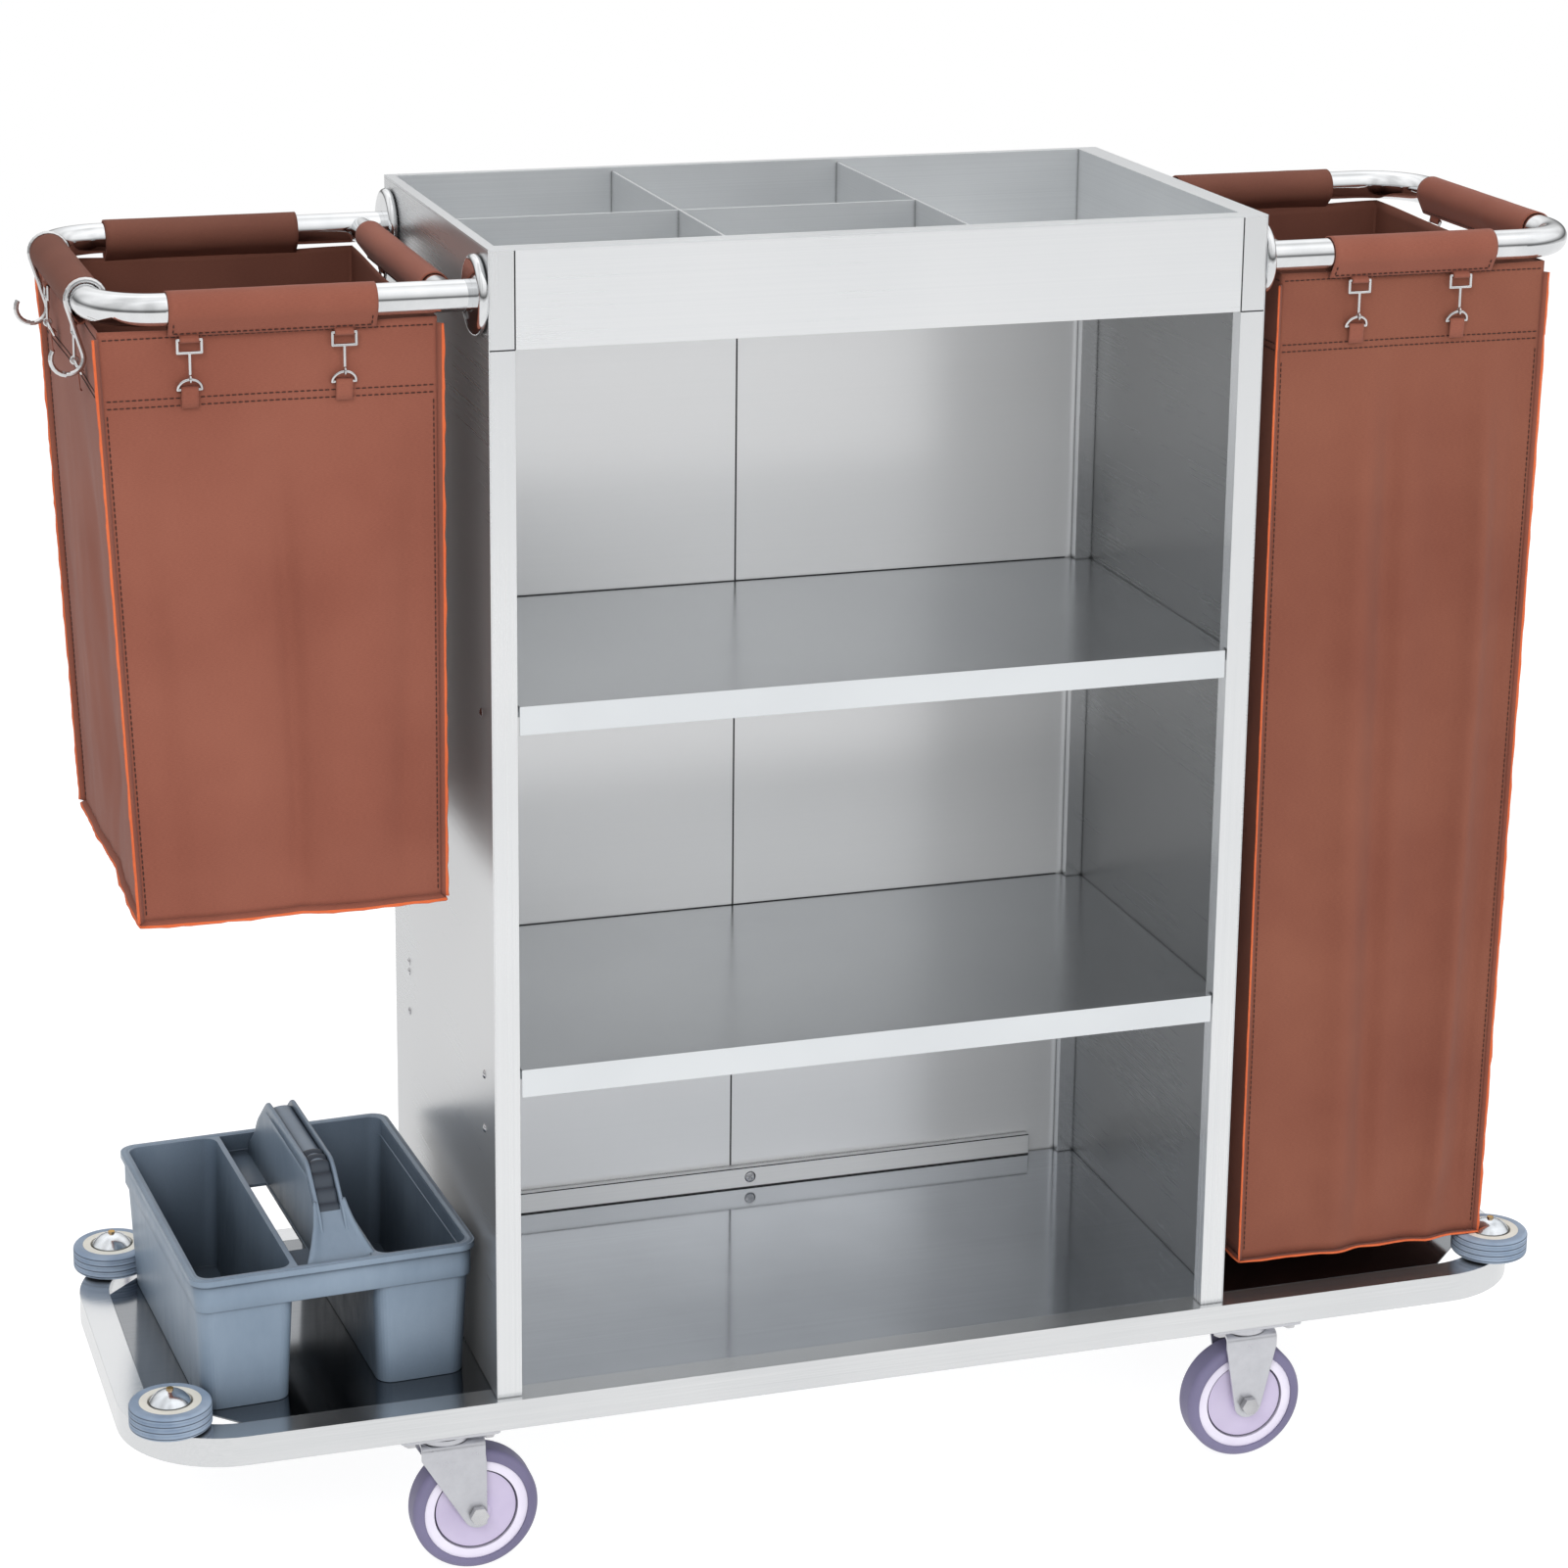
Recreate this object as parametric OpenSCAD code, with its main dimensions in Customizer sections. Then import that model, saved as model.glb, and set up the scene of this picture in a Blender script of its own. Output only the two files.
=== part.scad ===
// Housekeeping cart: stainless cabinet on a long wheeled base, with a hung bag at each end.
// Millimetres. The origin is on the floor under the middle of the whole cart, hooks included.
// X runs along the cart, the open front of the cabinet faces -Y and Z is up.

/* [Base] */
// Length of the base frame over its tubes
base_l = 1496; // [1400:1:1640]
// Depth of the base frame over its tubes
base_d = 462; // [440:1:540]
// Side of the square frame tube
frame_tube = 30; // [26:1:36]
// Wall of the frame tube
frame_wall = 2; // [1.5:0.1:3]
// Outer radius of the frame corners, seen from above
frame_corner_r = 110; // [90:1:130]
// Thickness of the deck sheet
deck_t = 1.5; // [1:0.1:2.5]
// Width of the two cross tubes that carry the casters
cross_tube_w = 90; // [80:1:110]

/* [Casters] */
// Height from the floor to the underside of the frame
caster_h = 161; // [150:1:190]
// Diameter of the wheels
wheel_d = 127; // [110:1:132]
// Width of the tyres
wheel_w = 32; // [26:1:38]
// Distance from the front or rear face of the frame to the wheel's middle plane
wheel_inset = 44; // [38:1:60]
// Distance from the middle of the base to the swivel axes, at the left
swivel_x = 438; // [400:1:480]
// Distance from the middle of the base to the rigid axles, at the right
rigid_x = 421; // [400:1:480]
// Offset of a swivel wheel's axle from its swivel axis
trail = 30; // [20:1:40]
// Radius of the axle bolts
axle_r = 5; // [4:0.5:6]

/* [Bumpers] */
// Diameter of the corner bumper wheels
bumper_d = 80; // [70:1:90]
// Height of the bumper wheels
bumper_h = 25; // [20:1:30]
// Radius of the stud that a bumper turns on
stud_r = 6; // [5:0.5:8]

/* [Cabinet] */
// Width of the cabinet
cab_w = 772; // [680:1:800]
// Depth of the cabinet
cab_d = 442; // [430:1:446]
// Height of the cabinet above the deck
cab_h = 1139; // [1000:1:1300]
// How far the cabinet's middle stands to the left of the base's middle
cab_shift = 5; // [0:1:20]
// How far the cabinet front stands behind the frame's front face
cab_setback = 8; // [4:1:10]
// Width of the front posts, side sheet included
post_w = 25; // [20:1:32]
// Depth of the front posts
post_d = 18; // [15:1:25]
// Thickness of the cabinet sheets
sheet_t = 1.2; // [0.8:0.1:2]
// Depth of the pan at the back of the cabinet, behind the back wall's face
back_pan = 15; // [10:1:20]
// Height of the front header, which is also the depth of the tray
header_h = 94; // [70:1:120]

/* [Tray] */
// Width of the left rim of the tray
rim_left = 10; // [6:0.5:20]
// Width of the right rim of the tray
rim_right = 23; // [12:0.5:30]
// Width of the front rim of the tray
rim_front = 18.6; // [12:0.1:25]
// Width of the rear rim of the tray
rim_back = 9.5; // [6:0.1:20]
// Distance from the cabinet's front to the long divider
long_divider_y = 188; // [150:1:250]
// Distances from the cabinet's left side to the two cross dividers
cross_divider_x = [235, 478];
// Thickness of the dividers
divider_t = 2; // [1:0.1:3]

/* [Shelves] */
// Heights of the two shelf lips' tops above the deck
shelf_tops = [341, 704.5];
// Height of the front lip of a shelf
lip_h = 28; // [22:1:35]
// How far a lip's top stands above its shelf's surface
lip_rise = 12; // [6:1:15]
// Depth of the fold along a shelf's front
lip_fold = 12; // [8:1:18]
// Height of the rail on the cabinet floor, along the back wall
rail_h = 24; // [15:1:35]

/* [Handles] */
// Diameter of the handle tubes
handle_d = 30; // [25:1:34]
// Wall of the handle tubes
handle_wall = 1.5; // [1:0.1:2.5]
// How far the end bars stand out from the cabinet's sides
handle_reach = 350; // [330:1:380]
// Radius of a handle's bends, at the tube's middle
handle_bend_r = 60; // [50:1:80]
// Distance from the cabinet's top down to the handles' axis
handle_drop = 47; // [45:1:60]
// Distance from the cabinet's front or rear to the long tubes' axes
handle_inset = 32; // [28:1:45]
// Distance from the cabinet's sides to the cross bars' axes
cross_bar_out = 32; // [28:1:45]
// Diameter of the cross bars
cross_bar_d = 25; // [20:1:28]
// Diameter of the wall flanges
flange_d = 76; // [60:1:84]
// Thickness of the wall flanges
flange_t = 10; // [6:1:12]

/* [Bags] */
// Thickness of the bags' cloth
cloth_t = 3; // [2:0.5:4]
// Distance of the left bag's bottom above the deck
left_bag_lift = 515; // [480:1:700]
// Distance of the right bag's bottom above the deck
right_bag_lift = 28; // [28:1:100]
// Distance from the tube's axis down to the bags' hems
hem_drop = 18; // [17:1:22]
// How far the left bag's outer side leans in towards its bottom
left_bag_lean = 25; // [0:1:60]
// How far the right bag's outer side leans in towards its bottom
right_bag_lean = 16; // [15:1:60]
// How far the left bag hangs inside its end bar and its cross bar
left_gaps = [0, 9];
// How far the right bag hangs inside its end bar and its cross bar
right_gaps = [32, 0];

/* [Caddy] */
// Width of the caddy over its rim
caddy_w = 285; // [250:1:290]
// Depth of the caddy over its rim
caddy_d = 354; // [320:1:356]
// Height of the caddy's rim
caddy_h = 142; // [120:1:160]
// Height of the caddy's carrying ridge
ridge_h = 208; // [180:1:230]
// Wall of the caddy
caddy_wall = 3; // [2.5:0.5:4]

/* [Hidden] */
$fn = 48;
// Gap between pieces that only lie side by side
seat = 0.3;
// Radial clearance of a running fit
run = 0.05;
// Extra length of a cutting shape
cut = 1;
// Wire of the S-hooks and how far their open ends stand out from the end bar's axis
s_wire_r = 2.5;
s_upper_r = handle_d / 2 + s_wire_r + seat;
s_lower_r = 15;
s_out = 18;
s_down = 54;
// The hooks stand past the base at the left, so the base sits half of that to the right
hook_past = handle_reach + s_out + s_lower_r + s_wire_r + cab_shift - (base_l - cab_w) / 2;
base_x = hook_past / 2;
z_frame = caster_h;
z_deck = caster_h + frame_tube;
z_top = z_deck + cab_h;
cab_l = base_x - cab_shift - cab_w / 2;
cab_r = cab_l + cab_w;
cab_f = -base_d / 2 + cab_setback;
cab_b = cab_f + cab_d;
inner_l = cab_l + sheet_t;
inner_r = cab_r - sheet_t;
back_y = cab_b - back_pan;
rear_post_w = 20;
rear_post_d = 26;
rear_post_y = cab_b - rear_post_d - sheet_t;
// Where the back wall's two sheets meet, from the cabinet's left side
seam_x = 369;
post_wall = 1.5;
flange_sheet = 2;
block_d = rim_front - sheet_t;
z_header = z_top - header_h;
z_under_rim = z_top - flange_sheet;
wheel_y = base_d / 2 - wheel_inset;
wheel_r = wheel_d / 2;
plate_t = 4;
plate_l = 100;
plate_w = 84;
fork_t = 3;
fork_gap = wheel_w / 2 + 4;
bearing_h = 14;
fork_top = z_frame - plate_t - bearing_h;
kingpin_r = 6;
core_r = wheel_r - 11;
bolt_r = 4;
bumper_z = z_deck + 2;
corner_x = base_l / 2 - frame_corner_r + (frame_corner_r - frame_tube / 2) * cos(45);
corner_y = base_d / 2 - frame_corner_r + (frame_corner_r - frame_tube / 2) * sin(45);
hub_out_r = bumper_d / 2 - 10;
hub_well_r = 22;
hub_floor = 16;
handle_z = z_top - handle_drop;
handle_r = handle_d / 2;
handle_f = cab_f + handle_inset;
handle_b = cab_b - handle_inset;
left_bar_x = cab_l - handle_reach;
right_bar_x = cab_r + handle_reach;
// Sleeves along the long tubes, as distances from the cabinet's side
left_sleeve = [98, 288];
right_sleeve = [81, 257];
// Sleeves along the end bars and the cross bars, as distances from the cabinet's front
end_sleeve = [110, 345];
cross_sleeve = [78, 364];
sleeve_t = 1.7;
flap_t = 3;
flap_drop = 24;
flap_in = 3.5;
// Where the hooks hang, measured like the sleeves
left_hooks = [128, 269];
right_hooks = [113, 223];
end_hooks = [135, 320];
tab_w = 18;
tab_drop = 6;
wire_r = 1.5;
ring_r = 11;
// Distance from the tube's axis out to the bag's face, and to the plane that the hooks hang in
face_in = 0.5;
hook_plane = flap_in + flap_t / 2 + wire_r + seat;
hook_drop = 36;
z_hem = handle_z - hem_drop;
caddy_x = cab_l - 156;
caddy_y = cab_f + 223;
caddy_turn = 3;
leg_h = caddy_h - 34;
tunnel_w = 80;
draft = 9;
lip = 6;

// ---------- outlines ----------

// A rectangle with round corners, centred
module round_rect(l, d, r) {
    square([l - 2 * r, d], center = true);
    square([l, d - 2 * r], center = true);
    for (x = [-1, 1], y = [-1, 1])
        translate([x * (l / 2 - r), y * (d / 2 - r)]) circle(r);
}

// An open-ended square tube standing up
module square_post(w, d, h, wall) {
    difference() {
        cube([w, d, h]);
        translate([wall, wall, -cut]) cube([w - 2 * wall, d - 2 * wall, h + 2 * cut]);
    }
}

// Repeats at the four corners of the base: left front, left rear, right front, right rear
module at_corners(x_left, x_right, y) {
    for (sy = [-1, 1]) {
        translate([base_x - x_left, sy * y, 0]) children();
        translate([base_x + x_right, sy * y, 0]) children();
    }
}

// ---------- base ----------

module ring_outline(inset) {
    difference() {
        round_rect(base_l - 2 * inset, base_d - 2 * inset, frame_corner_r - inset);
        round_rect(base_l - 2 * frame_tube + 2 * inset, base_d - 2 * frame_tube + 2 * inset,
            frame_corner_r - frame_tube + inset);
    }
}

module cross_tube(x) {
    reach = base_d / 2 - frame_tube;
    translate([base_x + x - cross_tube_w / 2, -reach, z_frame])
        difference() {
            cube([cross_tube_w, 2 * reach, frame_tube - deck_t]);
            translate([frame_wall, -cut, frame_wall])
                cube([cross_tube_w - 2 * frame_wall, 2 * reach + 2 * cut,
                    frame_tube - deck_t - 2 * frame_wall]);
        }
}

module base_frame() {
    color("silver") {
        translate([base_x, 0, z_frame]) difference() {
            linear_extrude(frame_tube) ring_outline(0);
            translate([0, 0, frame_wall])
                linear_extrude(frame_tube - 2 * frame_wall) ring_outline(frame_wall);
        }
        cross_tube(-swivel_x);
        cross_tube(rigid_x);
    }
}

// The sheet fills the ring up to the chord across each inner corner
module deck_sheet() {
    x = base_l / 2 - frame_tube;
    y = base_d / 2 - frame_tube;
    c = frame_corner_r - frame_tube;
    color("gainsboro") translate([base_x, 0, z_deck - deck_t]) linear_extrude(deck_t)
        polygon([[-x + c, -y], [x - c, -y], [x, -y + c], [x, y - c],
            [x - c, y], [-x + c, y], [-x, y - c], [-x, -y + c]]);
}

// ---------- bumpers ----------

module bumper_tyre(sx, sy) {
    groove_r = 0.9;
    color("slategray") translate([base_x + sx * corner_x, sy * corner_y, bumper_z])
        rotate_extrude() difference() {
            union() {
                translate([hub_out_r, 0]) square([bumper_d / 2 - hub_out_r - 4, bumper_h]);
                translate([hub_out_r, 4]) square([bumper_d / 2 - hub_out_r, bumper_h - 8]);
                for (z = [4, bumper_h - 4]) translate([bumper_d / 2 - 4, z]) circle(4);
            }
            for (k = [1:3]) translate([bumper_d / 2, bumper_h * k / 4]) circle(groove_r, $fn = 16);
        }
}

module bumper_hub(sx, sy) {
    color("linen") translate([base_x + sx * corner_x, sy * corner_y, bumper_z])
        rotate_extrude() {
            translate([stud_r + run, seat]) square([hub_out_r - stud_r - run, hub_floor - seat]);
            translate([hub_well_r, seat]) square([hub_out_r - hub_well_r, bumper_h - seat]);
        }
}

// A washer and a plain stud, welded on the frame's corner
module bumper_studs() {
    color("silver") at_corners(corner_x, corner_x, corner_y) {
        translate([0, 0, z_deck]) cylinder(r = 14, h = bumper_z - z_deck);
        translate([0, 0, z_deck]) cylinder(r = stud_r, h = bumper_z - z_deck + hub_floor + seat);
    }
}

// A domed cap with a small pin on its crown
module bumper_caps() {
    cap_r = hub_well_r - 2;
    crown = 11;
    ball_r = (cap_r * cap_r + crown * crown) / (2 * crown);
    lift = bumper_z + hub_floor + seat;
    color("silver") at_corners(corner_x, corner_x, corner_y) translate([0, 0, lift]) {
        cylinder(r = cap_r, h = bumper_h - hub_floor);
        translate([0, 0, bumper_h - hub_floor]) intersection() {
            translate([0, 0, crown - ball_r]) sphere(ball_r, $fn = 96);
            cylinder(r = cap_r, h = crown + cut);
        }
        translate([0, 0, bumper_h - hub_floor + crown - cut]) cylinder(r = 3.5, h = 3);
    }
}

// ---------- casters ----------

module caster_plates() {
    color("silver") at_corners(swivel_x, rigid_x, wheel_y)
        translate([0, 0, z_frame - plate_t]) linear_extrude(plate_t) difference() {
            round_rect(plate_l, plate_w, 6);
            plate_holes() circle(bolt_r + seat);
        }
}

module plate_holes() {
    for (x = [-1, 1], y = [-1, 1])
        translate([x * (plate_l / 2 - 11), y * (plate_w / 2 - 11)]) children();
}

// Hexagon heads under the plates, with a short shank in each hole
module caster_bolts() {
    color("silver") at_corners(swivel_x, rigid_x, wheel_y) plate_holes() {
        translate([0, 0, z_frame - plate_t - 5.5]) cylinder(r = 7, h = 5.5, $fn = 6);
        translate([0, 0, z_frame - plate_t - cut]) cylinder(r = bolt_r, h = plate_t + cut);
    }
}

// Ball race between a swivel caster's plate and its fork
module swivel_bearings() {
    color("gainsboro") for (sy = [-1, 1])
        translate([base_x - swivel_x, sy * wheel_y, fork_top + seat]) difference() {
            union() {
                cylinder(r = 27, h = 5);
                cylinder(r = 24, h = bearing_h - seat);
                translate([0, 0, bearing_h - 5]) cylinder(r = 29, h = 5 - seat);
            }
            translate([0, 0, -cut]) cylinder(r = kingpin_r + run, h = bearing_h + 2 * cut);
        }
}

module kingpins() {
    color("silver") for (sy = [-1, 1])
        translate([base_x - swivel_x, sy * wheel_y, fork_top]) {
            cylinder(r = kingpin_r, h = bearing_h);
            translate([0, 0, -fork_t - 2 * seat]) cylinder(r = kingpin_r, h = fork_t + 2 * seat);
            translate([0, 0, -fork_t - seat - 4]) cylinder(r = 9, h = 4);
        }
}

// Corner where a straight edge from point p touches a circle of radius r round c
function touch(p, c, r, side) =
    let (v = p - c, d = norm(v), a = atan2(v[1], v[0]) + side * acos(r / d))
    c + r * [cos(a), sin(a)];

// Side view of a fork: a flat top that narrows to a round foot at the axle
module fork_outline(left, right, foot) {
    c = [foot, wheel_r];
    r = 15;
    top = fork_top;
    shoulder = top - 16;
    union() {
        polygon([[left, top], [left, shoulder], touch([left, shoulder], c, r, 1),
            touch([right, shoulder], c, r, -1), [right, shoulder], [right, top]]);
        translate(c) circle(r);
    }
}

// Pressed from one sheet: a rounded U whose legs hold the axle
module fork(left, right, foot, pin_r) {
    bend = 8;
    outer = fork_gap + fork_t;
    difference() {
        intersection() {
            rotate([90, 0, 0]) linear_extrude(2 * outer + 2 * cut, center = true)
                fork_outline(left, right, foot);
            translate([left - cut, 0, 0]) rotate([90, 0, 90])
                linear_extrude(right - left + 2 * cut) difference() {
                    fork_section(outer, fork_top, bend);
                    fork_section(fork_gap, fork_top - fork_t, bend - fork_t);
                }
        }
        translate([foot, 0, wheel_r]) rotate([90, 0, 0])
            cylinder(r = axle_r + run, h = 4 * fork_gap, center = true);
        translate([0, 0, fork_top - fork_t - cut])
            cylinder(r = pin_r + run, h = fork_t + 2 * cut);
    }
}

module fork_section(half, top, bend) {
    translate([-half, 0]) square([2 * half, top - bend]);
    translate([-half + bend, 0]) square([2 * (half - bend), top]);
    for (s = [-1, 1]) translate([s * (half - bend), top - bend]) circle(bend);
}

module swivel_fork(sy) {
    color("silver") translate([base_x - swivel_x, sy * wheel_y, 0])
        fork(-26, trail + 8, trail, kingpin_r);
}

// A rigid fork is welded to a spacer under its plate
module rigid_fork(sy) {
    color("silver") translate([base_x + rigid_x, sy * wheel_y, 0]) {
        fork(-26, 30, 0, bolt_r);
        translate([0, 0, fork_top]) difference() {
            cylinder(r = 25, h = bearing_h);
            translate([0, 0, -cut]) cylinder(r = bolt_r + run, h = bearing_h + 2 * cut);
        }
    }
}

function axle_x(sx) = sx < 0 ? base_x - swivel_x + trail : base_x + rigid_x;

// Hexagon bolt with a nut on the inner side and a shoulder at each leg
module axle(sx, sy) {
    outer = fork_gap + fork_t;
    color("gainsboro") translate([axle_x(sx), sy * wheel_y, wheel_r]) rotate([sy * 90, 0, 0]) {
        cylinder(r = axle_r, h = 2 * outer + 8, center = true);
        translate([0, 0, outer]) cylinder(r = 9, h = 1.5);
        translate([0, 0, outer + 1.5]) cylinder(r = 8.5, h = 6, $fn = 6);
        translate([0, 0, -outer - 8]) cylinder(r = 9.5, h = 8, $fn = 6);
    }
}

// Moulded wheel centre: a hub, a thin disc with a groove round it and a raised ring
module wheel_core(sx, sy) {
    disc_r = core_r - 10;
    color("thistle") translate([axle_x(sx), sy * wheel_y, wheel_r]) rotate([90, 0, 0])
        rotate_extrude() for (side = [-1, 1]) {
            half_part(side, axle_r + run, 13, fork_gap - seat);
            half_part(side, 12, disc_r - 1.5, wheel_w / 2 - 4);
            half_part(side, disc_r - 2, disc_r + 1, wheel_w / 2 - 7);
            half_part(side, disc_r, core_r, wheel_w / 2 - 2);
        }
}

// One side's half of a wheel section, from the middle plane out to height h
module half_part(side, r0, r1, h) {
    translate([r0, side > 0 ? 0 : -h]) square([r1 - r0, h]);
}

module tyre(sx, sy) {
    round_r = 7;
    color("dimgray") translate([axle_x(sx), sy * wheel_y, wheel_r]) rotate([90, 0, 0])
        rotate_extrude($fn = 96) difference() {
            union() {
                translate([core_r, -wheel_w / 2 + round_r])
                    square([wheel_r - core_r, wheel_w - 2 * round_r]);
                translate([core_r, -wheel_w / 2]) square([wheel_r - core_r - round_r, wheel_w]);
                for (s = [-1, 1])
                    translate([wheel_r - round_r, s * (wheel_w / 2 - round_r)]) circle(round_r);
            }
            translate([core_r - 2 * round_r, -wheel_w]) square([2 * round_r, 2 * wheel_w]);
        }
}

// ---------- cabinet ----------

module front_post(x) {
    color("silver") translate([x, cab_f, z_deck])
        square_post(post_w - sheet_t, post_d, z_header - z_deck, post_wall);
}

module rear_post(x) {
    color("silver") translate([x, rear_post_y, z_deck])
        square_post(rear_post_w - sheet_t, rear_post_d, z_header - z_deck, post_wall);
}

module side_panel(x) {
    color("silver") translate([x, cab_f, z_deck])
        cube([sheet_t, cab_d, z_under_rim - z_deck]);
}

// One sheet of the back wall, folded rearwards all round, up to the tray
module back_panel(x0, x1) {
    h = z_header - z_deck;
    color("gainsboro") translate([x0, back_y, z_deck]) difference() {
        cube([x1 - x0, back_pan, h]);
        translate([sheet_t, sheet_t, sheet_t])
            cube([x1 - x0 - 2 * sheet_t, back_pan, h - 2 * sheet_t]);
    }
}

// Folded front of the tray, between the posts' ends
module header() {
    w = cab_w - 2 * post_w;
    color("silver") translate([cab_l + post_w, cab_f, z_header])
        rotate([90, 0, 90]) linear_extrude(w)
            polygon([[0, 0], [block_d, 0], [block_d, sheet_t],
                [sheet_t, sheet_t], [sheet_t, z_under_rim - z_header],
                [0, z_under_rim - z_header]]);
}

// The posts' own ends beside the tray, cut off at the header's lower edge
module tray_corner_blocks() {
    h = z_under_rim - z_header;
    rear_y = cab_b - rim_back + sheet_t;
    color("silver") translate([0, 0, z_header]) {
        translate([inner_l, cab_f, 0]) square_post(post_w - sheet_t, block_d, h, post_wall);
        translate([cab_r - post_w, cab_f, 0]) square_post(post_w - sheet_t, block_d, h, post_wall);
        for (x = [inner_l, inner_r - rear_post_w])
            translate([x, rear_y, 0]) cube([rear_post_w, cab_b - sheet_t - rear_y, h]);
    }
}

// Open-topped box with a flat rim over the cabinet's upper edges and a skirt at the back
module tray_pan() {
    x0 = cab_l + rim_left;
    x1 = cab_r - rim_right;
    y0 = cab_f + rim_front;
    y1 = cab_b - rim_back;
    floor_z = z_header + sheet_t;
    color("gainsboro") {
        difference() {
            union() {
                translate([cab_l, cab_f, z_under_rim]) cube([cab_w, cab_d, flange_sheet]);
                translate([x0 - sheet_t, y0 - sheet_t, floor_z])
                    cube([x1 - x0 + 2 * sheet_t, y1 - y0 + 2 * sheet_t, z_top - cut - floor_z]);
            }
            translate([x0, y0, floor_z + sheet_t]) cube([x1 - x0, y1 - y0, header_h]);
        }
        translate([inner_l, cab_b - sheet_t, z_header])
            cube([inner_r - inner_l, sheet_t, z_top - cut - z_header]);
    }
}

// One long divider across the left two compartments' columns, and two cross dividers
module tray_dividers() {
    x0 = cab_l + rim_left;
    y0 = cab_f + rim_front;
    y1 = cab_b - rim_back;
    z = z_header + 2 * sheet_t;
    h = z_top - 4 - z;
    color("silver") {
        translate([x0, cab_f + long_divider_y, z])
            cube([cross_divider_x[1] - rim_left + divider_t, divider_t, h]);
        for (x = cross_divider_x)
            translate([cab_l + x, y0, z]) cube([divider_t, y1 - y0, h]);
    }
}

// Shelf section, seen along the cart: flat sheet with a raised box fold at the front
module shelf_section(lip_top) {
    s = lip_top - lip_rise;
    polygon([[0, lip_top - lip_h], [0, lip_top], [lip_fold, lip_top], [lip_fold, s],
        [back_y - cab_f, s], [back_y - cab_f, s - sheet_t], [lip_fold - sheet_t, s - sheet_t],
        [lip_fold - sheet_t, lip_top - sheet_t], [sheet_t, lip_top - sheet_t],
        [sheet_t, lip_top - lip_h]]);
}

module shelf(lip_top) {
    end_gap = 2;
    flange_h = 24;
    s = z_deck + lip_top - lip_rise;
    notch_d = post_d + end_gap;
    rear_d = back_y - rear_post_y + seat;
    color("gainsboro") {
        difference() {
            translate([inner_l, cab_f, z_deck]) rotate([90, 0, 90])
                linear_extrude(inner_r - inner_l) shelf_section(lip_top);
            for (x = [inner_l - cut, cab_r - post_w - end_gap])
                translate([x, cab_f - cut, s - lip_h])
                    cube([post_w - sheet_t + end_gap + cut, notch_d + cut, 2 * lip_h]);
            for (x = [inner_l - cut, cab_r - rear_post_w - seat])
                translate([x, rear_post_y - seat, s - lip_h])
                    cube([rear_post_w - sheet_t + seat + cut, rear_d + cut, 2 * lip_h]);
        }
        for (x = [inner_l, inner_r - sheet_t])
            translate([x, cab_f + notch_d, s - flange_h])
                cube([sheet_t, rear_post_y - seat - cab_f - notch_d, flange_h]);
    }
}

// Folded channel that stops loads short of the back wall
module floor_rail() {
    end_x = 54;
    depth = 9;
    color("silver") translate([cab_l + end_x, back_y - depth, z_deck])
        rotate([90, 0, 90]) linear_extrude(cab_w - 2 * end_x)
            polygon([[0, 0], [0, rail_h], [depth, rail_h], [depth, rail_h - sheet_t],
                [sheet_t, rail_h - sheet_t], [sheet_t, 0]]);
}

// Domed heads on the outside of the side panels, where the shelf flanges are fixed
module panel_screws() {
    head_r = 4.5;
    head_h = 2;
    rows = [[42, 690], [42, 324], [42, 268], [376, 690], [376, 320], [376, 309], [376, 265]];
    ball_r = (head_r * head_r + head_h * head_h) / (2 * head_h);
    color("silver") for (r = rows, side = [-1, 1])
        translate([side < 0 ? cab_l : cab_r, cab_f + r[0], z_deck + r[1]])
            rotate([0, side * 90, 0]) intersection() {
                translate([0, 0, head_h - ball_r]) sphere(ball_r);
                cylinder(r = head_r, h = head_h + cut);
            }
}

// ---------- handles ----------

// U of round bar from the cabinet's left side: out, along the end and back
module handle_sweep(r, past) {
    straight = handle_reach - handle_bend_r;
    for (y = [handle_f, handle_b])
        translate([cab_l + past, y, handle_z]) rotate([0, -90, 0])
            cylinder(r = r, h = straight + past);
    translate([left_bar_x, handle_f + handle_bend_r, handle_z]) rotate([-90, 0, 0])
        cylinder(r = r, h = handle_b - handle_f - 2 * handle_bend_r);
    for (turn = [[180, handle_f + handle_bend_r], [90, handle_b - handle_bend_r]])
        translate([left_bar_x + handle_bend_r, turn[1], handle_z]) rotate([0, 0, turn[0]])
            rotate_extrude(angle = 90) translate([handle_bend_r, 0]) circle(r);
}

// The right handle is the left one mirrored about the cabinet's middle
module handle(side) {
    middle = (cab_l + cab_r) / 2;
    color("silver") translate([middle, 0, 0]) mirror([side < 0 ? 0 : 1, 0, 0])
        translate([-middle, 0, 0]) difference() {
            handle_sweep(handle_r, 0);
            handle_sweep(handle_r - handle_wall, cut);
        }
}

// Bars that join a handle's two long tubes close to the cabinet, coped to their round
module cross_bars() {
    color("silver") for (x = [cab_l - cross_bar_out, cab_r + cross_bar_out]) difference() {
        translate([x, handle_f, handle_z]) rotate([-90, 0, 0])
            cylinder(d = cross_bar_d, h = handle_b - handle_f);
        translate([x, handle_f - cut, handle_z]) rotate([-90, 0, 0])
            cylinder(d = cross_bar_d - 2 * handle_wall, h = handle_b - handle_f + 2 * cut);
        for (y = [handle_f, handle_b]) translate([x, y, handle_z]) rotate([0, 90, 0])
            cylinder(r = handle_r + seat / 2, h = 2 * cross_bar_d, center = true);
    }
}

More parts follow.
